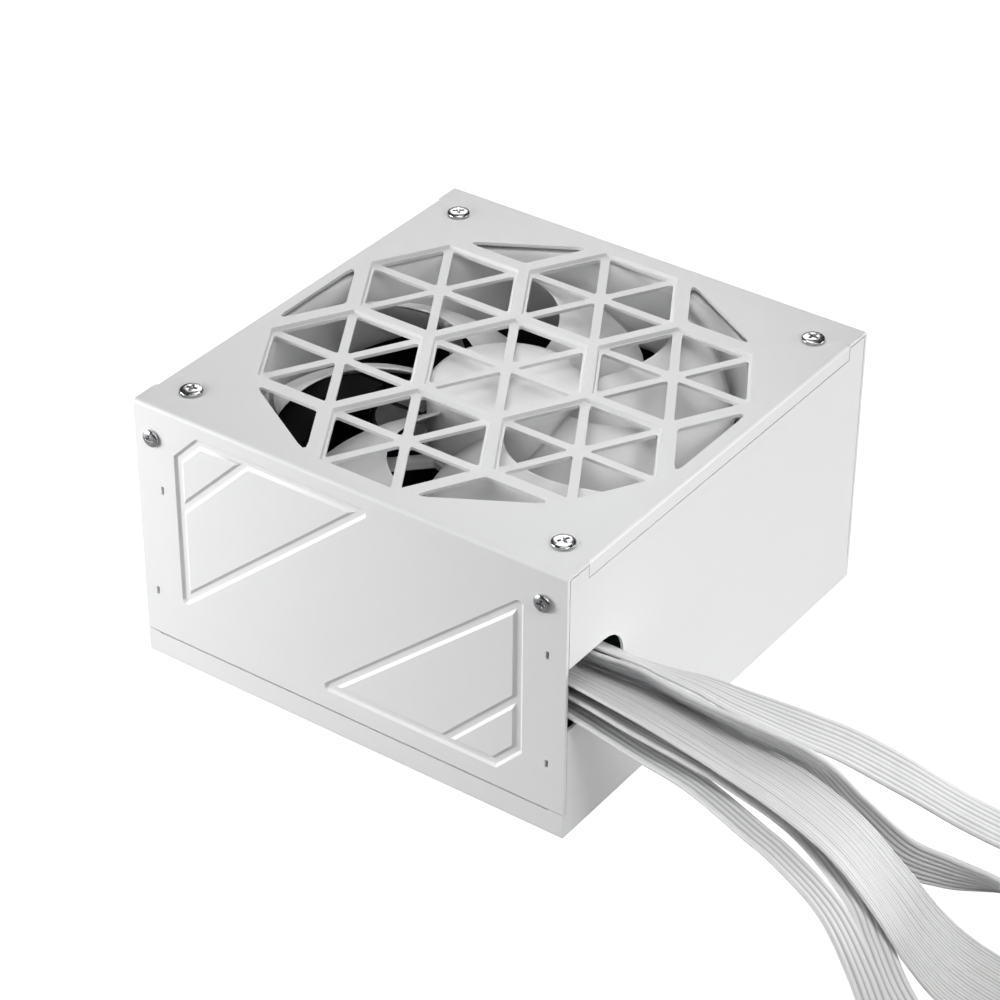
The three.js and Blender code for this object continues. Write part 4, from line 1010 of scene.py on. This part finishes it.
def add_transistors():
    """Three plastic-bodied transistors with metal tabs and legs, on the secondary heatsink."""
    bodies, metal = Build(), Build()
    for x in TRANSISTOR_X:
        y0, y1 = TRANSISTOR_FACE - 4.5, TRANSISTOR_FACE - 0.05
        outline = [
            (x - 5, y0 + 1), (x - 4.4, y0), (x + 4.4, y0), (x + 5, y0 + 1), (x + 5, y1), (x - 5, y1)]
        bodies.prism(outline, 18, 27)
        metal.block((x - 4.9, y1 - 1.3, 27), (x + 4.9, y1, 33.4))
        screw_place = Matrix.Translation((x, y1 - 1.3, 30.2)) @ Matrix.Rotation(math.pi / 2, 4, "X")
        metal.lathe(
            [(0, -0.05), (2.6, -0.05), (2.6, 0.9), (2.2, 1.6), (1.2, 2.0), (0, 2.1)], 24, screw_place)
        for leg in (-LEG_PITCH, 0, LEG_PITCH):
            metal.block((x + leg - 0.35, y0 + 2, PARTS_Z), (x + leg + 0.35, y0 + 2.5, 18.1))
    inside["dark"].append(bodies.piece("power_transistors"))
    inside["steel"].append(metal.piece("transistor_tabs"))


def add_vent_shade_sheet():
    """A black sheet between the inlet wall and the primary heatsink, with a folded top edge, that
    stands in for the shade behind the vents.
    """
    low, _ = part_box("primary_heatsink")
    x = low.x / MM - 1.0
    section = [
        (0, 40), (0.35, 40), (0.35, 57.6), (-0.25, 58.25), (-1.6, 58.4), (-1.6, 58.05), (-0.4, 57.9),
        (0, 57.4)]
    sheet = Build()
    sheet.rings([[Vector((x + dx, y, z)) for dx, z in section] for y in (52, 20, -20, -52)])
    # painted shade: a black sheet that darkens the view through the vents
    inside["dark"].append(sheet.piece("vent_shade_sheet"))


def add_rocker_marks():
    """The on bar and the off ring, raised on the rocker's two thumb faces."""
    place = Matrix.Translation(ROCKER_PIVOT) @ Matrix.Rotation(ROCKER_REST, 4, "Y")

    def face(z):
        return -2.2 - 0.9 * abs(z) / ROCKER_HALF_HEIGHT

    marks = Build()
    bar = [(-0.22, 3.1), (0.22, 3.1), (0.22, 5.9), (-0.22, 5.9)]
    ring_section = [
        (1.0, 0.1), (1.42, 0.1), (1.42, -0.05), (1.36, -0.07), (1.06, -0.07), (1.0, -0.05)]
    marks.rings([[place @ Vector((face(z) + lift, y, z)) for y, z in bar] for lift in (0.1, -0.07)])
    rings = []
    for k in range(MARK_STEPS):
        angle = 2 * math.pi * k / MARK_STEPS
        y_unit, z_unit = math.cos(angle), math.sin(angle)
        ring = []
        for radius, lift in ring_section:
            z = -4.5 + radius * z_unit
            ring.append(place @ Vector((face(z) + lift, radius * y_unit, z)))
        rings.append(ring)
    marks.rings(rings, closed=True)
    return marks.piece("rocker_marks")


wound_core("common_mode_choke", (-46, -30, PARTS_Z + 5), 10.5, 5.0, 0.55, 44, [(15, 165), (195, 345)])
wound_core("output_toroid", (54, 44, PARTS_Z + 4.4), 9.0, 4.4, 0.6, 30, [(0, 350)])
add_all_cans()
add_transistors()
add_vent_shade_sheet()
rocker_marks = add_rocker_marks()
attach(rocker_marks, "rocker")
for kind, slot in (
        ("dark", "black_plastic"), ("steel", "chrome"), ("sleeve", "capacitor_sleeve"),
        ("copper", "copper"), ("core", "ferrite"), ("top", "aluminium")):
    for piece in inside[kind]:
        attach(piece, "root")
for piece in (*sum(inside.values(), []), rocker_marks, *terminal_pieces):
    face_outward(piece)


# ---------------------------------------------------------------- materials
class Shading:
    """Short calls for a material's node tree. Coordinates are the row frame's, in metres."""

    def __init__(self, name):
        self.material = bpy.data.materials.new(name)
        self.material.use_nodes = True
        self.tree = self.material.node_tree
        self.shader = next(n for n in self.tree.nodes if n.type == "BSDF_PRINCIPLED")
        self.place = self.node("ShaderNodeTexCoord").outputs["Object"]

    def node(self, kind, **settings):
        made = self.tree.nodes.new(kind)
        for key, value in settings.items():
            setattr(made, key, value)
        return made

    def feed(self, socket, value):
        if isinstance(value, bpy.types.NodeSocket):
            self.tree.links.new(value, socket)
        else:
            socket.default_value = value

    def set(self, **inputs):
        for key, value in inputs.items():
            self.feed(self.shader.inputs[key.replace("_", " ")], value)

    def math(self, operation, a, b=0.0, c=0.0):
        made = self.node("ShaderNodeMath", operation=operation)
        for socket, value in zip(made.inputs, (a, b, c)):
            self.feed(socket, value)
        return made.outputs[0]

    def stretched(self, scale):
        """The coordinates multiplied by scale along each axis."""
        made = self.node("ShaderNodeMapping")
        self.feed(made.inputs["Vector"], self.place)
        made.inputs["Scale"].default_value = scale
        return made.outputs[0]

    def noise(self, scale, detail=2.0, roughness=0.5, place=None):
        made = self.node("ShaderNodeTexNoise")
        self.feed(made.inputs["Vector"], place or self.place)
        made.inputs["Scale"].default_value = scale
        made.inputs["Detail"].default_value = detail
        made.inputs["Roughness"].default_value = roughness
        return made.outputs["Fac"]

    def span(self, value, low, high, to_low=0.0, to_high=1.0):
        made = self.node("ShaderNodeMapRange")
        self.feed(made.inputs["Value"], value)
        for key, number in (
                ("From Min", low), ("From Max", high), ("To Min", to_low), ("To Max", to_high)):
            made.inputs[key].default_value = number
        return made.outputs[0]

    def mix(self, share, first, second):
        made = self.node("ShaderNodeMix", data_type="RGBA")
        self.feed(made.inputs[0], share)
        for socket, value in ((made.inputs[6], first), (made.inputs[7], second)):
            if not isinstance(value, bpy.types.NodeSocket):
                value = (*value, 1)
            self.feed(socket, value)
        return made.outputs[2]

    def axis(self, letter):
        made = self.node("ShaderNodeSeparateXYZ")
        self.feed(made.inputs[0], self.place)
        return made.outputs[letter]

    def bump(self, height, strength, distance):
        made = self.node("ShaderNodeBump")
        made.inputs["Strength"].default_value = strength
        made.inputs["Distance"].default_value = distance
        self.feed(made.inputs["Height"], height)
        self.feed(self.shader.inputs["Normal"], made.outputs[0])


# painted shade: the inside of the case is coloured near-black within these limits, in millimetres
PAINTED_SHADE_HALF_X = 71.6
PAINTED_SHADE_HALF_Y = 74.05
PAINTED_SHADE_TOP = 82.0
PAINTED_SHADE_BOTTOM = 0.95


def powder_coat():
    """White powder coat: orange-peel surface, faint tone changes, and near-black painted shade inside
    the case.
    """
    s = Shading("white_powder_coat")
    tone = s.mix(s.noise(18, 3), (0.845, 0.847, 0.85), (0.87, 0.871, 0.873))
    painted_shade_inside = s.math("LESS_THAN", s.math("ABSOLUTE", s.axis("X")), PAINTED_SHADE_HALF_X * MM)
    for within in (
            s.math("LESS_THAN", s.math("ABSOLUTE", s.axis("Y")), PAINTED_SHADE_HALF_Y * MM),
            s.math("LESS_THAN", s.axis("Z"), PAINTED_SHADE_TOP * MM),
            s.math("GREATER_THAN", s.axis("Z"), PAINTED_SHADE_BOTTOM * MM)):
        painted_shade_inside = s.math("MULTIPLY", painted_shade_inside, within)
    # painted shade: the inside faces of the cover and the tray are coloured near-black
    s.set(Base_Color=s.mix(painted_shade_inside, tone, (0.012, 0.012, 0.013)))
    s.set(Roughness=s.span(s.noise(220, 3), 0.3, 0.7, 0.4, 0.5))
    peel = s.math("ADD", s.noise(1500, 1), s.math("MULTIPLY", s.noise(5200, 2), 0.4))
    s.bump(peel, 0.1, 0.1 * MM)
    return s.material


def speckled(name, low, high, tone, gloss, relief, **extra):
    """A colour that wanders from low to high, with uneven gloss and a fine relief.

    tone is a noise's (scale, detail), gloss a noise's (scale, lowest, highest roughness), and
    relief a noise's (scale, detail, roughness) with the bump's (strength, depth in millimetres).
    """
    s = Shading(name)
    s.set(Base_Color=s.mix(s.noise(*tone), low, high), **extra)
    gloss_scale, lowest, highest = gloss
    s.set(Roughness=s.span(s.noise(gloss_scale, 3), 0.3, 0.7, lowest, highest))
    scale, detail, roughness, strength, depth = relief
    s.bump(s.noise(scale, detail, roughness), strength, depth * MM)
    return s.material


def brushed(name, low, high, scale, stretch, gloss, strength, depth, metallic):
    """A metal whose stretched grain makes colour, gloss and relief alike; depth in millimetres."""
    s = Shading(name)
    lines = s.noise(scale, 4, 0.6, s.stretched(stretch))
    s.set(Base_Color=s.mix(lines, low, high), Metallic=metallic)
    s.set(Roughness=s.span(lines, 0.3, 0.7, *gloss))
    s.bump(lines, strength, depth * MM)
    return s.material


def moulded_plastic(name, low, high, roughness, grain=2600, strength=0.1):
    """Moulded plastic: fine spark-eroded grain and faint flow marks."""
    return speckled(
        name, low, high, (45, 4), (300, roughness - 0.05, roughness + 0.06),
        (grain, 3, 0.6, strength, 0.06))


def cable_insulation():
    """Soft white wire insulation with faint extrusion streaks, handling marks and painted shade in the
    grooves between the wires.
    """
    s = Shading("cable_insulation")
    streaks = s.noise(60, 3, 0.6, s.stretched((0.5, 14, 14)))
    marks = s.noise(140, 4, 0.6)
    share = s.math("ADD", s.math("MULTIPLY", streaks, 0.6), s.math("MULTIPLY", marks, 0.4))
    unshaded_tone = s.mix(share, (0.80, 0.80, 0.802), (0.87, 0.87, 0.872))
    painted_groove_shade = s.node("ShaderNodeAttribute", attribute_name="painted_groove_shade").outputs["Fac"]
    # painted shade: the grooves between the wires are darkened towards grey
    s.set(Base_Color=s.mix(s.math("MULTIPLY", painted_groove_shade, 0.8), unshaded_tone, (0.3, 0.3, 0.305)))
    s.set(Roughness=s.span(marks, 0.3, 0.7, 0.42, 0.56))
    s.set(Subsurface_Weight=0.08, Subsurface_Radius=(0.001, 0.001, 0.001))
    s.bump(s.noise(900, 3), 0.12, 0.05 * MM)
    return s.material


def circuit_board():
    """Dark solder mask over raised copper tracks, with bare pads."""
    s = Shading("circuit_board")
    blocks = s.node("ShaderNodeTexBrick")
    s.feed(blocks.inputs["Vector"], s.stretched((1, 1, 0)))
    for key, value in (
            ("Scale", 70.0), ("Mortar Size", 0.06), ("Brick Width", 0.9), ("Row Height", 0.34)):
        blocks.inputs[key].default_value = value
    tracks = blocks.outputs["Fac"]
    pads = s.node("ShaderNodeTexVoronoi")
    s.feed(pads.inputs["Vector"], s.stretched((1, 1, 0)))
    pads.inputs["Scale"].default_value = 230
    pad = s.math("LESS_THAN", pads.outputs["Distance"], 0.16)
    mask = s.mix(tracks, (0.006, 0.022, 0.013), (0.012, 0.045, 0.024))
    s.set(Base_Color=s.mix(pad, mask, (0.5, 0.5, 0.48)))
    s.set(Roughness=s.span(s.noise(90, 3), 0.3, 0.7, 0.28, 0.42))
    s.bump(s.math("ADD", tracks, s.math("MULTIPLY", s.noise(900, 2), 0.2)), 0.25, 0.05 * MM)
    return s.material


def polyester_tape():
    """Yellow polyester tape, lapped in turns up the height of a winding."""
    s = Shading("polyester_tape")
    laps = s.math("FRACT", s.math("DIVIDE", s.axis("Z"), 3.1 * MM))
    shade = s.math("ADD", s.math("MULTIPLY", laps, 0.5), s.math("MULTIPLY", s.noise(70, 3), 0.5))
    s.set(Base_Color=s.mix(shade, (0.5, 0.3, 0.02), (0.72, 0.5, 0.06)))
    s.set(Roughness=s.span(s.noise(200, 3), 0.3, 0.7, 0.24, 0.4))
    s.bump(s.math("GREATER_THAN", laps, 0.93), 0.5, 0.06 * MM)
    return s.material


def strap_fabric():
    """Woven hook-and-loop strap: crossing threads and a napped surface."""
    s = Shading("strap_fabric")
    wave = s.math("SINE", s.math("MULTIPLY", s.axis("X"), 9000.0))
    weft = s.math("SINE", s.math("MULTIPLY", s.math("ADD", s.axis("Y"), s.axis("Z")), 9000.0))
    weave = s.math("MULTIPLY", wave, weft)
    nap = s.noise(3000, 4, 0.7)
    s.set(Base_Color=s.mix(s.span(weave, -1, 1), (0.42, 0.42, 0.43), (0.62, 0.62, 0.63)))
    s.set(Roughness=0.85, Sheen_Weight=0.5, Sheen_Roughness=0.4)
    s.bump(s.math("ADD", s.math("MULTIPLY", weave, 0.5), nap), 0.6, 0.12 * MM)
    return s.material


look = {
    "paint": powder_coat(),
    "white": moulded_plastic("white_plastic", (0.8, 0.802, 0.806), (0.845, 0.846, 0.85), 0.36),
    # painted light: the rotor's plastic is lighter than the frame's so that the hub looks more brightly
    # lit
    "rotor": moulded_plastic("rotor_plastic_painted_light", (0.88, 0.88, 0.88), (0.92, 0.92, 0.92), 0.34),
    "connector": moulded_plastic("connector_nylon", (0.74, 0.74, 0.73), (0.82, 0.82, 0.81), 0.42),
    "black": moulded_plastic(
        "black_plastic", (0.012, 0.012, 0.013), (0.026, 0.026, 0.028), 0.4, grain=1900, strength=0.25),
    "cable": cable_insulation(),
    # bright plating with fine turning marks
    "steel": speckled(
        "plated_steel", (0.42, 0.42, 0.43), (0.78, 0.785, 0.8), (700, 4), (1200, 0.14, 0.3),
        (4000, 3, 0.5, 0.12, 0.03), Metallic=1.0),
    # black-anodised, with drawing lines along X
    "aluminium": brushed(
        "aluminium", (0.012, 0.012, 0.013), (0.03, 0.03, 0.032), 400, (0.04, 1, 1), (0.34, 0.5),
        0.2, 0.05, 0.6),
    # rolled and brushed
    "can_top": brushed(
        "bare_aluminium", (0.55, 0.555, 0.565), (0.72, 0.725, 0.735), 900, (1, 0.08, 1), (0.24, 0.4),
        0.12, 0.03, 1.0),
    "board": circuit_board(),
    # thin and smoky, with soft creases
    "film": speckled(
        "insulation_film", (0.02, 0.02, 0.022), (0.045, 0.045, 0.05), (35, 3), (80, 0.16, 0.34),
        (60, 2, 0.5, 0.2, 0.2)),
    # sintered: dull and slightly porous
    "ferrite": speckled(
        "ferrite", (0.018, 0.018, 0.02), (0.05, 0.05, 0.054), (900, 5), (400, 0.55, 0.75),
        (2400, 4, 0.7, 0.4, 0.08)),
    "tape": polyester_tape(),
    # warmer where the enamel lies thick
    "copper": speckled(
        "enamelled_copper", (0.32, 0.1, 0.03), (0.66, 0.27, 0.1), (500, 4), (700, 0.2, 0.36),
        (1800, 2, 0.5, 0.1, 0.04), Metallic=0.85, Coat_Weight=0.5, Coat_Roughness=0.15),
    # glossy, and slightly rippled where it has drawn in
    "sleeve": speckled(
        "shrink_sleeve", (0.012, 0.013, 0.018), (0.028, 0.03, 0.04), (60, 3), (240, 0.18, 0.3),
        (180, 3, 0.5, 0.12, 0.15)),
    "strap": strap_fabric(),
}


def dress(piece, material):
    piece.data.materials.clear()
    piece.data.materials.append(look[material])


for material, pieces in (
        ("cable", cable_pieces), ("strap", tie_pieces), ("white", [fan_frame_round, rocker_marks]),
        ("rotor", [fan_rotor_round]), ("steel", [*screw_pieces, *inside["steel"], *terminal_pieces]),
        ("black", inside["dark"]), ("sleeve", inside["sleeve"]), ("copper", inside["copper"]),
        ("ferrite", inside["core"]), ("can_top", inside["top"])):
    for piece in pieces:
        dress(piece, material)
for pieces in (inside["dark"], inside["steel"], inside["sleeve"], terminal_pieces, inside["core"]):
    for piece in pieces:
        soften(piece, 0.08, 2, 50)


# ---------------------------------------------------------------- CAD nodes that stay as they are
# look: (nodes, width of their softened edges in millimetres)
FINISH = {
    "paint": (["cover", "base_tray"], 0.18),
    "white": (["fan_plug"], 0.25),
    "connector": ([plug for cable in CABLES.values() for plug in cable["plugs"]], 0.2),
    "black": (
        ["mains_inlet", "switch_housing", "switch_rocker", "bridge_rectifier", "wire_guide"], 0.25),
    "steel": ([f"mains_pin_{pin}" for pin in ("line", "earth", "neutral")], 0.08),
    "aluminium": (["primary_heatsink", "secondary_heatsink"], 0.15),
    "board": (["circuit_board"], 0.1),
    "film": (["insulation_sheet"], 0.05),
    "ferrite": (["transformer_core"], 0.3),
    "tape": (["transformer_winding", "filter_capacitor", "standby_transformer"], 0.5),
    "copper": (["fan_stator"], 0.1),
}
for material, (names, edge) in FINISH.items():
    for name in names:
        dress(nodes[name], material)
        soften(nodes[name], edge)
dress(nodes["fan_lead"], "black")
nodes["fan_lead"].data.shade_smooth()


# ---------------------------------------------------------------- studio
FLOOR_HALF = 3.0                 # metres, as are the lights' sizes and places
WORLD_FILL = 0.05


def add_floor():
    """A floor that the camera sees nearly white, and grey to light, so that it throws little back."""
    corners = [(x * FLOOR_HALF, y * FLOOR_HALF, 0) for x, y in ((-1, -1), (1, -1), (1, 1), (-1, 1))]
    floor = piece_from("floor", corners, [(0, 1, 2, 3)], smooth=False)
    s = Shading("floor")
    s.set(Base_Color=s.mix(s.noise(4, 2), (0.34, 0.34, 0.34), (0.36, 0.36, 0.36)), Roughness=0.8)
    lit = s.node("ShaderNodeLightPath").outputs["Is Camera Ray"]
    s.set(Emission_Color=(1, 1, 1, 1), Emission_Strength=s.math("MULTIPLY", lit, 0.95))
    floor.data.materials.append(s.material)


def add_softbox(name, place, aim, width, height, power, spread=180):
    """An area light of that size in metres, power in watts and spread in degrees."""
    data = bpy.data.lights.new(name, "AREA")
    data.spread = math.radians(spread)
    data.shape = "RECTANGLE"
    data.size = width
    data.size_y = height
    data.energy = power
    lamp = new_object(name, data)
    lamp.location = place
    lamp.visible_camera = False
    direction = Vector(aim) - Vector(place)
    lamp.rotation_mode = "QUATERNION"
    lamp.rotation_quaternion = direction.to_track_quat("-Z", "Y")


def add_world():
    """White behind the object, and a weak fill on it."""
    world = bpy.data.worlds.new("studio")
    world.use_nodes = True
    background = world.node_tree.nodes["Background"]
    background.inputs["Color"].default_value = (1, 1, 1, 1)
    seen = world.node_tree.nodes.new("ShaderNodeLightPath").outputs["Is Camera Ray"]
    strength = world.node_tree.nodes.new("ShaderNodeMapRange")
    world.node_tree.links.new(seen, strength.inputs["Value"])
    strength.inputs["To Min"].default_value = WORLD_FILL
    strength.inputs["To Max"].default_value = 1.0
    world.node_tree.links.new(strength.outputs["Result"], background.inputs["Strength"])
    bpy.context.scene.world = world
    bpy.context.scene.view_settings.view_transform = "Standard"


add_floor()
add_softbox("left_softbox", (-0.42, -0.35, 0.10), (-0.05, -0.07, 0.03), 0.3, 0.3, 3.5)
add_softbox("right_softbox", (0.6, 0.35, 0.06), (0.07, 0.05, 0.03), 0.4, 0.1, 2.8)
add_softbox("cable_softbox", (0.40, -0.15, 0.36), (0.14, -0.07, 0.03), 0.15, 0.15, 0.085, 50)
add_softbox("back_softbox", (-0.43, 0.61, 0.58), (0, 0, 0.08), 0.5, 0.5, 2.0)
add_softbox("top_softbox", (0.3, -0.5, 0.9), (0.05, -0.05, 0.05), 0.6, 0.6, 1.6)
add_softbox("overhead_softbox", (0.0, 0.03, 0.28), (0.0, 0.03, 0.08), 0.15, 0.15, 0.145)
add_world()
